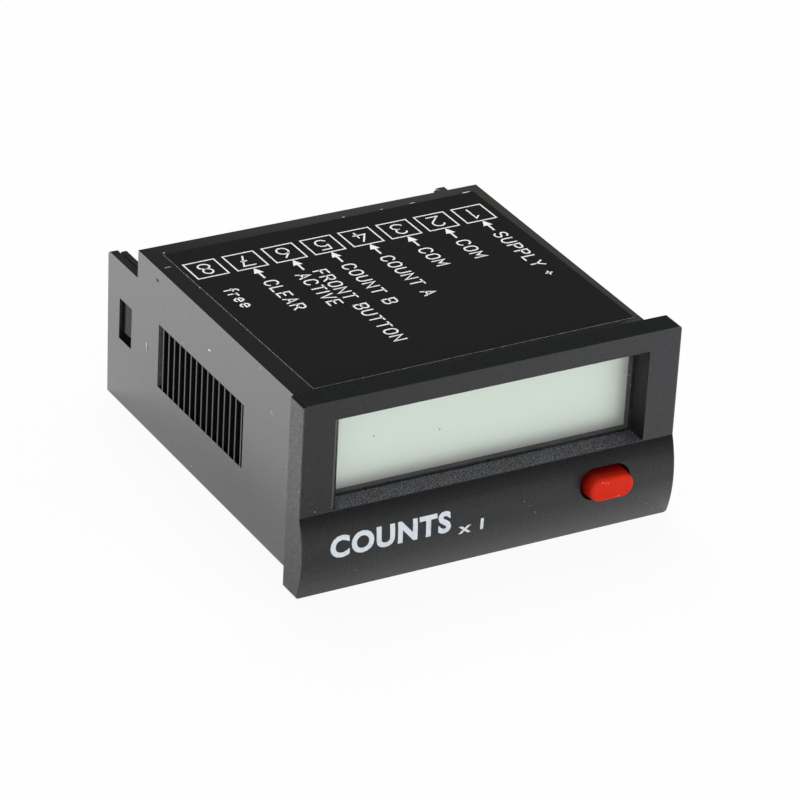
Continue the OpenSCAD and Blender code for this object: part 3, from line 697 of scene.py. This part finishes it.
finishes = {
    "housing": housingPlastic(housingLook),
    "pane": clearPane(paneLook),
    "lcd_film": displayFilm(displayLook),
    "board": boardMask(boardLook),
    "steel": metal("platedSteel", grey(0.52, 0.04), grey(0.66, 0.02), 0.24, (1, 1, 8)),
    "key": keyPlastic(keyLook),
    "contact": metal("tinnedBrass", (0.60, 0.52, 0.34), (0.74, 0.66, 0.46), 0.26, (6, 1, 1)),
}
for name, look in plasticLooks.items():
    finishes[name] = mouldedPlastic(*look)
for name, look in printLooks.items():
    finishes[name] = sheetPrint(name, *look)
for row in frame["record"]["subparts"]:
    mesh = nodes[row["node"]].data
    mesh.materials.clear()
    mesh.materials.append(finishes[row["material_slot"]])
print("finishes made:", len(finishes))


# edges of the mouldings

edgeRounds = {
    # node: radius, folds that are rounded from, folds shaded smooth up to, steps
    "housing": (0.14 * mm, 40, 15, 7),
    "reset_key": (0.08 * mm, 20, 30, 3),
    "terminal_block": (0.10 * mm, 40, 46, 2),
    "rear_cover": (0.10 * mm, 40, 46, 2),
}
edgeCleaning = {
    "weld": 0.0005 * mm,
    "flat": 0.5,  # degrees, folds under this are joined into one face
    "weight": 100,
}


def shadeGroup(limit):
    # drops the stored normals, then shades smooth up to a fold
    group = bpy.data.node_groups.new("shadeByFold", "GeometryNodeTree")
    group.interface.new_socket("Geometry", in_out="INPUT", socket_type="NodeSocketGeometry")
    group.interface.new_socket("Geometry", in_out="OUTPUT", socket_type="NodeSocketGeometry")
    into = group.nodes.new("NodeGroupInput")
    out = group.nodes.new("NodeGroupOutput")
    drop = group.nodes.new("GeometryNodeRemoveAttribute")
    drop.inputs["Name"].default_value = "custom_normal"
    faces = group.nodes.new("GeometryNodeSetShadeSmooth")
    edges = group.nodes.new("GeometryNodeSetShadeSmooth")
    edges.domain = "EDGE"
    fold = group.nodes.new("GeometryNodeInputMeshEdgeAngle")
    flat = group.nodes.new("FunctionNodeCompare")
    flat.operation = "LESS_THAN"
    flat.inputs["B"].default_value = math.radians(limit)
    link = group.links.new
    link(into.outputs[0], drop.inputs[0])
    link(drop.outputs[0], faces.inputs["Geometry"])
    link(faces.outputs[0], edges.inputs["Geometry"])
    link(fold.outputs["Unsigned Angle"], flat.inputs["A"])
    link(flat.outputs[0], edges.inputs["Shade Smooth"])
    link(edges.outputs[0], out.inputs[0])
    return group


def roundEdges(node, radius, fold, limit, steps):
    weld = node.modifiers.new("weld", "WELD")
    weld.merge_threshold = edgeCleaning["weld"]
    join = node.modifiers.new("flatFaces", "DECIMATE")
    join.decimate_type = "DISSOLVE"
    join.angle_limit = math.radians(edgeCleaning["flat"])
    bevel = node.modifiers.new("edges", "BEVEL")
    bevel.width = radius
    bevel.segments = steps
    bevel.limit_method = "ANGLE"
    bevel.angle_limit = math.radians(fold)
    smooth = node.modifiers.new("shade", "NODES")
    smooth.node_group = shadeGroup(limit)
    weigh = node.modifiers.new("weigh", "WEIGHTED_NORMAL")
    weigh.keep_sharp = True
    weigh.weight = edgeCleaning["weight"]


for name, edges in edgeRounds.items():
    roundEdges(nodes[name], *edges)
print("edges rounded")


# flat print, drawn as thin closed sheets

def sheetFrom(name, drawing, finish, body="counter"):
    mesh = bpy.data.meshes.new(name)
    bmesh.ops.recalc_face_normals(drawing, faces=drawing.faces)
    drawing.to_mesh(mesh)
    drawing.free()
    piece = bpy.data.objects.new(name, mesh)
    scene.collection.objects.link(piece)
    mesh.materials.append(finishes[finish])
    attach(piece, body)
    return piece


def closePlate(drawing, bottom, top):
    drawing.faces.new(top)
    drawing.faces.new(list(reversed(bottom)))
    for i in range(len(top)):
        j = (i + 1) % len(top)
        drawing.faces.new((bottom[i], bottom[j], top[j], top[i]))


def addPlate(drawing, outline, low, high):
    # closed plate from a convex outline
    bottom = [drawing.verts.new((x, y, low)) for x, y in outline]
    top = [drawing.verts.new((x, y, high)) for x, y in outline]
    closePlate(drawing, bottom, top)


def addFrame(drawing, centre, size, line, low, high):
    # square line round a number, mitred at its corners
    halfX, halfY = size[0] / 2, size[1] / 2
    corners = [(-1, -1), (1, -1), (1, 1), (-1, 1)]
    outer = [(centre[0] + sx * halfX, centre[1] + sy * halfY) for sx, sy in corners]
    inner = [(centre[0] + sx * (halfX - line), centre[1] + sy * (halfY - line)) for sx, sy in corners]
    rings = []
    for z in (low, high):
        rings += [[drawing.verts.new((x, y, z)) for x, y in ring] for ring in (outer, inner)]
    for i in range(4):
        j = (i + 1) % 4
        for a, b in ((0, 1), (1, 3), (3, 2), (2, 0)):
            drawing.faces.new((rings[a][i], rings[a][j], rings[b][j], rings[b][i]))


def bow(x, y, across, tall, start, end, steps=8):
    # round part of a letter, in degrees
    turns = [math.radians(start + (end - start) * i / steps) for i in range(steps + 1)]
    return [(x + across * math.cos(t), y + tall * math.sin(t)) for t in turns]


bowl = bow(2.4, 4.5, 1.5, 1.5, 90, -90)  # upper bowl of B, P and R
penLetters = {
    # width and pen strokes on a grid that is six high
    "A": (4, [[(0, 0), (2, 6), (4, 0)], [(0.7, 2), (3.3, 2)]]),
    "B": (4, [[(0, 0), (0, 6)] + bowl + [(0, 3)], bow(2.4, 1.5, 1.6, 1.5, 90, -90) + [(0, 0)]]),
    "C": (4, [bow(2, 4, 2, 2, 15, 180) + bow(2, 2, 2, 2, 180, 345)]),
    "E": (3.5, [[(3.5, 6), (0, 6), (0, 0), (3.5, 0)], [(0, 3), (2.8, 3)]]),
    "F": (3.5, [[(3.5, 6), (0, 6), (0, 0)], [(0, 3), (2.8, 3)]]),
    "I": (0, [[(0, 0), (0, 6)]]),
    "L": (3.5, [[(0, 6), (0, 0), (3.5, 0)]]),
    "M": (4.4, [[(0, 0), (0, 6), (2.2, 2.4), (4.4, 6), (4.4, 0)]]),
    "N": (4, [[(0, 0), (0, 6), (4, 0), (4, 6)]]),
    "O": (4, [bow(2, 4, 2, 2, 0, 180) + bow(2, 2, 2, 2, 180, 360) + [(4, 4)]]),
    "P": (3.9, [[(0, 0), (0, 6)] + bowl + [(0, 3)]]),
    "R": (4, [[(0, 0), (0, 6)] + bowl + [(0, 3)], [(2, 3), (4, 0)]]),
    "S": (3.8, [bow(1.9, 4.5, 1.8, 1.5, 20, 270) + bow(1.9, 1.5, 1.9, 1.5, 90, -160)]),
    "T": (4, [[(0, 6), (4, 6)], [(2, 6), (2, 0)]]),
    "U": (4, [[(0, 6)] + bow(2, 2, 2, 2, 180, 360) + [(4, 6)]]),
    "V": (4, [[(0, 6), (2, 0), (4, 6)]]),
    "Y": (4, [[(0, 6), (2, 3), (4, 6)], [(2, 3), (2, 0)]]),
    "+": (3, [[(0, 3), (3, 3)], [(1.5, 1.5), (1.5, 4.5)]]),
    " ": (1.8, []),
    "e": (3.2, [[(0, 2), (3.2, 2)] + bow(1.6, 2, 1.6, 2, 0, 310)]),
    "f": (2.2, [[(0.7, 0)] + bow(1.9, 4.8, 1.2, 1.2, 180, 70), [(0, 3.6), (2, 3.6)]]),
    "r": (2, [[(0, 0), (0, 4)], [(0, 2.4)] + bow(1.4, 2.4, 1.4, 1.6, 180, 60)]),
    "1": (1.4, [[(0, 4.6), (1.4, 6), (1.4, 0)]]),
    "2": (3.6, [bow(1.8, 4.3, 1.8, 1.7, 165, -35) + [(0, 0), (3.6, 0)]]),
    "3": (3.6, [bow(1.7, 4.5, 1.6, 1.5, 160, -80), bow(1.7, 1.55, 1.9, 1.55, 90, -160)]),
    "4": (3.8, [[(2.6, 6), (0, 1.7), (3.8, 1.7)], [(2.7, 3.4), (2.7, 0)]]),
    "5": (3.6, [[(3.4, 6), (0.5, 6), (0.2, 3.3)] + bow(1.7, 2, 1.9, 2, 140, -150)]),
    "6": (3.6, [[(2.7, 6), (0.7, 3.6)] + bow(1.8, 1.9, 1.8, 1.9, 145, 500, 12)]),
    "7": (3.8, [[(0, 6), (3.8, 6), (1.3, 0)], [(1.5, 3), (3.2, 3)]]),
    "8": (3.6, [bow(1.8, 4.5, 1.5, 1.5, -90, 270, 12), bow(1.8, 1.5, 1.8, 1.5, 90, 450, 12)]),
}


penEnd = {
    "tip": 0.8,  # length of a rounded end against half the pen
    "taper": 0.5,  # its width at the very end
    "mitre": 0.5,  # least cosine at a sharp turn
}


def penRings(points, half):
    # pairs of edge points along a stroke, mitred at its turns and rounded at its ends
    line = []
    same = half / 20  # points closer than this are one
    for point in points:
        if not line or (Vector(point) - line[-1]).length > same:
            line.append(Vector(point))
    loop = len(line) > 3 and (line[0] - line[-1]).length < same
    if loop:
        line.pop()
    count = len(line)
    rings = []
    for i, point in enumerate(line):
        start, end = not loop and i == 0, not loop and i == count - 1
        leave = (line[(i + 1) % count] - point).normalized() if not end else None
        reach = (point - line[i - 1]).normalized() if not start else leave
        leave = leave or reach
        ahead = (reach + leave).normalized()
        side = Vector((-ahead.y, ahead.x))
        across = side * half / max(penEnd["mitre"], ahead.dot(reach))
        tip, narrow = ahead * half * penEnd["tip"], across * penEnd["taper"]
        if start:
            rings.append((point - tip + narrow, point - tip - narrow))
        rings.append((point + across, point - across))
        if end:
            rings.append((point + tip + narrow, point + tip - narrow))
    return rings, loop


def addStroke(drawing, points, half, place):
    # closed strip along a pen stroke
    pairs, loop = penRings(points, half)
    rings = []
    for left, right in pairs:
        corners = ((left, True), (right, True), (right, False), (left, False))
        rings.append([drawing.verts.new(place(p.x, p.y, upper)) for p, upper in corners])
    for i in range(len(rings) if loop else len(rings) - 1):
        here, there = rings[i], rings[(i + 1) % len(rings)]
        for k in range(4):
            n = (k + 1) % 4
            drawing.faces.new((here[k], here[n], there[n], there[k]))
    if not loop:
        drawing.faces.new(rings[0])
        drawing.faces.new(list(reversed(rings[-1])))


gridHeight = 6
penGap = 2.2  # between letters, on the same grid


def penWidth(words, cap):
    return (sum(penLetters[c][0] + penGap for c in words) - penGap) * cap / gridHeight


def addPenWord(drawing, words, cap, pen, place):
    unit = cap / gridHeight
    start = 0
    for letter in words:
        width, strokes = penLetters[letter]
        for stroke in strokes:
            addStroke(drawing, [((start + u) * unit, v * unit) for u, v in stroke], pen / 2, place)
        start += width + penGap


def addBoldWord(drawing, words, cap, length, weight, spread, place):
    # heavy letters scaled to a cap height and a length
    curve = bpy.data.curves.new("letters", "FONT")
    curve.body = words
    curve.offset = weight
    curve.space_character = spread
    curve.extrude = 0.01
    curve.resolution_u = 4
    holder = bpy.data.objects.new("letters", curve)
    scene.collection.objects.link(holder)
    bpy.context.view_layer.update()
    ready = holder.evaluated_get(bpy.context.evaluated_depsgraph_get())
    mesh = bpy.data.meshes.new_from_object(ready)
    low = [min(v.co[i] for v in mesh.vertices) for i in range(3)]
    high = [max(v.co[i] for v in mesh.vertices) for i in range(3)]
    tall = cap / (high[1] - low[1])
    wide = length / (high[0] - low[0])
    for v in mesh.vertices:
        upper = v.co.z > (low[2] + high[2]) / 2
        v.co = place((v.co.x - low[0]) * wide, (v.co.y - low[1]) * tall, upper)
    drawing.from_mesh(mesh)
    bpy.data.objects.remove(holder)
    bpy.data.curves.remove(curve)
    bpy.data.meshes.remove(mesh)


labelPrint = {
    "pitch": 5.081 * mm,
    "boxSize": (4.13 * mm, 4.08 * mm),
    "rowX": -0.155 * mm,  # middle of the row, from the label's middle
    "rowY": 12.63 * mm,
    "line": 0.19 * mm,
    "digitHeight": 2.4 * mm,
    "digitPen": 0.215 * mm,
    "headLength": 1.3 * mm,
    "headHalf": 0.62 * mm,
    "headGap": 0.02 * mm,
    "tailLength": 1.4 * mm,
    "tailWidth": 0.26 * mm,
    "wordGap": 3.6 * mm,  # from the boxes to the words
    "capHeight": 1.62 * mm,
    "capShift": 0.45,  # share of the cap height that lies left of the arrow's line
    "wordPen": 0.22 * mm,
    "inkSink": 0.004 * mm,
    "inkRise": 0.012 * mm,
    "turn": math.radians(0.85),
    # for each terminal: words and their step across
    "words": [
        [("SUPPLY +", 0)],
        [("COM", 0)],
        [("COM", 0)],
        [("COUNT A", 0)],
        [("COUNT B", 0)],
        [("FRONT BUTTON", 1.45 * mm), ("ACTIVE", -0.85 * mm)],
        [("CLEAR", 0)],
        [("free", 0)],
    ],
}


def labelTurn():
    low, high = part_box("label")
    middle = (low + high) / 2
    return Matrix.Translation((middle.x, middle.y, 0)) @ Matrix.Rotation(labelPrint["turn"], 4, "Z")


def printLabel(setup):
    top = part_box("label")[1].z
    low, high = top - setup["inkSink"], top + setup["inkRise"]
    drawing = bmesh.new()
    poles = len(setup["words"])
    boxHalf = setup["boxSize"][1] / 2
    y = setup["rowY"]
    cap, digitHeight = setup["capHeight"], setup["digitHeight"]
    for pole, lines in enumerate(setup["words"]):
        x = setup["rowX"] + ((poles - 1) / 2 - pole) * setup["pitch"]
        addFrame(drawing, (x, y), setup["boxSize"], setup["line"], low, high)
        digit = str(pole + 1)
        digitX = x + penWidth(digit, digitHeight) / 2

        def digitPlace(u, v, upper):
            return (digitX - u, y + digitHeight / 2 - v, high if upper else low)

        addPenWord(drawing, digit, digitHeight, setup["digitPen"], digitPlace)
        tip = y - boxHalf - setup["headGap"]
        if pole < poles - 1:
            neck = tip - setup["headLength"]
            end = neck - setup["tailLength"]
            half = setup["tailWidth"] / 2
            wing = setup["headHalf"]
            head = [(x, tip), (x - wing, neck), (x + wing, neck)]
            tail = [(x - half, neck), (x - half, end), (x + half, end), (x + half, neck)]
            addPlate(drawing, head, low, high)
            addPlate(drawing, tail, low, high)
        startY = y - boxHalf - setup["wordGap"]
        for words, step in lines:
            baseX = x - cap * setup["capShift"] + step

            def wordPlace(u, v, upper):
                return (baseX + v, startY - u, high if upper else low)

            addPenWord(drawing, words, cap, setup["wordPen"], wordPlace)
    bmesh.ops.transform(drawing, matrix=labelTurn(), verts=drawing.verts)
    sheetFrom("labelPrint", drawing, "labelInk")


labelEdge = {
    "size": (41.4 * mm, 35.8 * mm),
    "proud": 0.004 * mm,  # past the sheet's own edge
    "line": 0.020 * mm,
    "low": 0.050 * mm,  # from the top of the sheet down to the rim's foot
    "rise": 0.003 * mm,
}


def rimLabel(setup):
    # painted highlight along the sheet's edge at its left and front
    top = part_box("label")[1].z
    halfX, halfY = (side / 2 + setup["proud"] for side in setup["size"])
    inX, inY = halfX - setup["line"], halfY - setup["line"]
    drawing = bmesh.new()
    for outline in (
        [(-halfX, -halfY), (-inX, -inY), (-inX, halfY), (-halfX, halfY)],
        [(-halfX, -halfY), (halfX, -halfY), (halfX, -inY), (-inX, -inY)],
    ):
        addPlate(drawing, outline, top - setup["low"], top + setup["rise"])
    bmesh.ops.transform(drawing, matrix=labelTurn(), verts=drawing.verts)
    sheetFrom("labelRimHighlight", drawing, "labelRimHighlight")


panelPrint = {
    "words": [
        # words, cap height, length, left end, base line, weight, spread
        ("COUNTS", 2.7 * mm, 15.2 * mm, -20.4 * mm, -7.3 * mm, 0.04, 1.12),
        ("x 1", 1.4 * mm, 3.2 * mm, -4.2 * mm, -7.9 * mm, 0.02, 1.0),
    ],
    "panelTop": -1.85 * mm,
    "panelEdge": -3 * mm,  # front of the panel's upper and lower edges
    "rise": 0.012 * mm,
    "sink": 0.006 * mm,
    "strips": 40,  # cuts across the panel, so that the print follows its crown
}


def crownAt(z):
    # front of the lower panel at a height
    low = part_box("housing")[0]
    top = panelPrint["panelTop"]
    swell = panelPrint["panelEdge"] - low.y
    half = (top - low.z) / 2
    radius = (half * half + swell * swell) / (2 * swell)
    off = z - (top + low.z) / 2
    return low.y + radius - math.sqrt(radius * radius - off * off)


def printPanel(setup):
    drawing = bmesh.new()
    for words, cap, length, left, base, weight, spread in setup["words"]:
        def place(u, v, upper):
            return (left + u, -setup["rise"] if upper else setup["sink"], base + v)

        addBoldWord(drawing, words, cap, length, weight, spread, place)
    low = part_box("housing")[0].z
    for i in range(1, setup["strips"]):
        z = low + (setup["panelTop"] - low) * i / setup["strips"]
        geometry = drawing.verts[:] + drawing.edges[:] + drawing.faces[:]
        bmesh.ops.bisect_plane(drawing, geom=geometry, plane_co=(0, 0, z), plane_no=(0, 0, 1))
    for v in drawing.verts:
        v.co.y += crownAt(v.co.z)
    sheetFrom("panelPrint", drawing, "panelInk")


printLabel(labelPrint)
rimLabel(labelEdge)
printPanel(panelPrint)
print("print drawn")


# window

windowEdge = {
    "start": -20.3 * mm,  # where the front of the left post begins to turn in
    "front": -3 * mm,
    "radius": 1.25 * mm,
    "low": -1.76 * mm,
    "high": 9.66 * mm,
    "steps": 16,
    "lipLow": 9.51 * mm,  # lower edge of the bar over the window
    "lipHigh": 9.9 * mm,
    "lipEnd": 20.2 * mm,
    "lipBack": -0.4 * mm,
    "lipProud": 0.003 * mm,
    "lipRound": 0.1 * mm,
    "lipSteps": 3,
}


def roundPost(setup):
    # rounded inner edge of the post left of the window
    x, radius = setup["start"], setup["radius"]
    y = setup["front"] + radius
    turns = [math.pi / 2 * i / setup["steps"] for i in range(setup["steps"] + 1)]
    arc = [(x + radius * math.sin(t), y - radius * math.cos(t)) for t in turns]
    drawing = bmesh.new()
    addPlate(drawing, arc + [(x, y)], setup["low"], setup["high"])
    sheetFrom("windowEdge", drawing, "edge")


def lowerBar(setup):
    # lip that brings the bar down to the window's edge
    left, right = setup["start"], setup["lipEnd"]
    front, back = setup["front"] - setup["lipProud"], setup["lipBack"]
    drawing = bmesh.new()
    outline = [(left, front), (right, front), (right, back), (left, back)]
    addPlate(drawing, outline, setup["lipLow"], setup["lipHigh"])
    lip = sheetFrom("windowLip", drawing, "housing")
    bevel = lip.modifiers.new("edges", "BEVEL")
    bevel.width = setup["lipRound"]
    bevel.segments = setup["lipSteps"]


roundPost(windowEdge)
lowerBar(windowEdge)
print("window edges set")


# dome under the reset key

domePress = {
    "joint": "reset_press",
    "axis": (0, 1, 0),
    "body": "counter",
}


def pressDome(setup):
    # rubber dome, copied to a piece of its own on the counter in place of the part's own
    node = nodes["key_dome"]
    dome = bpy.data.objects.new("keyDome", node.data.copy())
    dome.matrix_world = node.matrix_world
    scene.collection.objects.link(dome)
    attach(dome, setup["body"])
    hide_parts("key_dome")
    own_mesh(dome)


pressDome(domePress)
print("dome set under the key")


# dust, specks and small scratches, and a painted shadow beside one scratch

wearAndShadeMarks = {
    "rise": 0.014 * mm,
    "sink": 0.006 * mm,
    "wallX": -22.4 * mm,
    "sideX": -24 * mm,
    "topZ": 10.55 * mm,
    "frontY": -3 * mm,
    "corners": 9,  # of a grain's outline
    "ragged": (0.72, 1.12),
    "crown": 0.8,  # top of a grain against its foot
    # face, place on it, length and width in mm, turn in degrees
    "dust": [
        ("wall", 38.00, -0.62, 1.30, 0.24, 84),
        ("wall", 22.27, 6.43, 0.85, 0.36, -8),
        ("wall", 7.12, 5.91, 0.80, 0.13, 40),
        ("wall", 25.84, -10.33, 0.26, 0.18, 0),
        ("wall", 28.93, 4.16, 0.22, 0.14, 30),
        ("wall", 10.06, 10.12, 0.28, 0.14, 70),
        ("top", -21.30, 35.40, 0.95, 0.07, 2),
        ("top", 1.97, 0.82, 0.32, 0.16, 20),
        ("sheet", -20.12, 38.68, 0.36, 0.16, 15),
        ("sheet", -20.28, 29.17, 0.30, 0.12, 80),
        ("sheet", 3.4, 38.90, 0.60, 0.07, 3),
        ("sheet", 8.6, 38.95, 0.45, 0.08, 6),
        ("sheet", 12.7, 39.02, 0.80, 0.07, 2),
        ("side", -2.62, 1.35, 0.20, 0.16, 0),
        ("front", -22.04, -1.38, 0.12, 0.10, 0),
        ("pane", -16.96, 2.32, 0.36, 0.12, -45),
        ("pane", -12.16, 5.15, 0.16, 0.12, 0),
        ("pane", 19.22, 5.40, 0.12, 0.09, 0),
        ("pane", 19.54, 4.04, 0.14, 0.10, 50),
        ("sheet", 20.10, 39.08, 1.10, 0.16, 1),
    ],
    "paleDust": [
        ("side", -1.97, 8.30, 0.16, 0.11, 0),
        ("side", -1.08, 6.01, 0.13, 0.10, 40),
        ("side", -2.70, 4.60, 0.16, 0.10, 0),
        ("front", -22.73, -0.21, 0.16, 0.10, 60),
        ("front", -23.04, 3.99, 0.12, 0.10, 0),
        ("front", 21.86, 3.10, 0.14, 0.10, 0),
        ("panel", 20.74, -9.85, 0.55, 0.12, 18),
        ("panel", 21.03, -11.04, 0.28, 0.12, 40),
        ("panel", 21.74, -10.87, 0.16, 0.12, 0),
        ("panel", -12.12, -11.16, 0.18, 0.13, 0),
        ("panel", -13.02, -10.00, 0.16, 0.11, 20),
        ("panel", -17.01, -9.51, 0.18, 0.12, 0),
        ("panel", 4.21, -5.65, 0.24, 0.16, 30),
        ("panel", 4.90, -6.30, 0.14, 0.10, 0),
        ("panel", 5.71, -7.33, 0.24, 0.16, 10),
    ],
    "dirtAndShade": [
        ("wall", 35.63, 9.00, 0.85, 0.46, 0),
        ("wall", 3.90, 0.48, 0.20, 0.16, 0),
        # painted shadow beside the scratch drawn in the dust list
        ("wall", 37.70, -0.62, 0.80, 0.09, 84),
        ("pane", -13.58, 4.80, 0.22, 0.16, 70),
        ("pane", -5.23, 3.84, 0.24, 0.15, 40),
        ("pane", 18.59, 5.99, 0.18, 0.12, 60),
    ],
    "keyDust": [
        ("key", 13.35, -4.45, 0.12, 0.09, 15),
        ("key", 13.78, -4.58, 0.15, 0.08, 0),
        ("key", 14.12, -4.68, 0.11, 0.08, 30),
        ("key", 15.60, -6.62, 0.14, 0.07, 10),
    ],
}


def faceSpot(face, a, b, setup):
    # point on a face with the directions along, across and out of it
    right, up, ahead = Vector((1, 0, 0)), Vector((0, 0, 1)), Vector((0, 1, 0))
    if face in ("wall", "side"):
        return Vector((setup[face + "X"], a, b)), ahead, up, -right
    if face in ("top", "sheet"):
        z = setup["topZ"] if face == "top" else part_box("label")[1].z
        return Vector((a, b, z)), right, ahead, up
    depth = {
        "front": setup["frontY"],
        "panel": crownAt(b),
        "pane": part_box("display_window")[0].y,
        "key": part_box("reset_key")[0].y,
    }[face]
    return Vector((a, depth, b)), right, up, -ahead


def addFleck(drawing, mark, setup):
    # flat grain with a ragged outline
    face, a, b, length, width, turn = mark
    spot, along, across, out = faceSpot(face, a * mm, b * mm, setup)
    lean = math.radians(turn)
    long = along * math.cos(lean) + across * math.sin(lean)
    wide = across * math.cos(lean) - along * math.sin(lean)
    outline = []
    for i in range(setup["corners"]):
        t = 2 * math.pi * i / setup["corners"]
        reach = random.uniform(*setup["ragged"]) * mm / 2
        outline.append(long * (math.cos(t) * length * reach) + wide * (math.sin(t) * width * reach))
    bottom = [drawing.verts.new(spot + p - out * setup["sink"]) for p in outline]
    top = [drawing.verts.new(spot + p * setup["crown"] + out * setup["rise"]) for p in outline]
    closePlate(drawing, bottom, top)


def scatterWearAndShade(name, kind, finish, body):
    drawing = bmesh.new()
    for mark in wearAndShadeMarks[kind]:
        addFleck(drawing, mark, wearAndShadeMarks)
    sheetFrom(name, drawing, finish, body)


scatterWearAndShade("dustSpecks", "dust", "dust", "counter")
scatterWearAndShade("paleSpecks", "paleDust", "paleDust", "counter")
scatterWearAndShade("dirtAndShadeSpecks", "dirtAndShade", "dirtAndShade", "counter")
scatterWearAndShade("keySpecks", "keyDust", "dust", "key")
print("wear added")
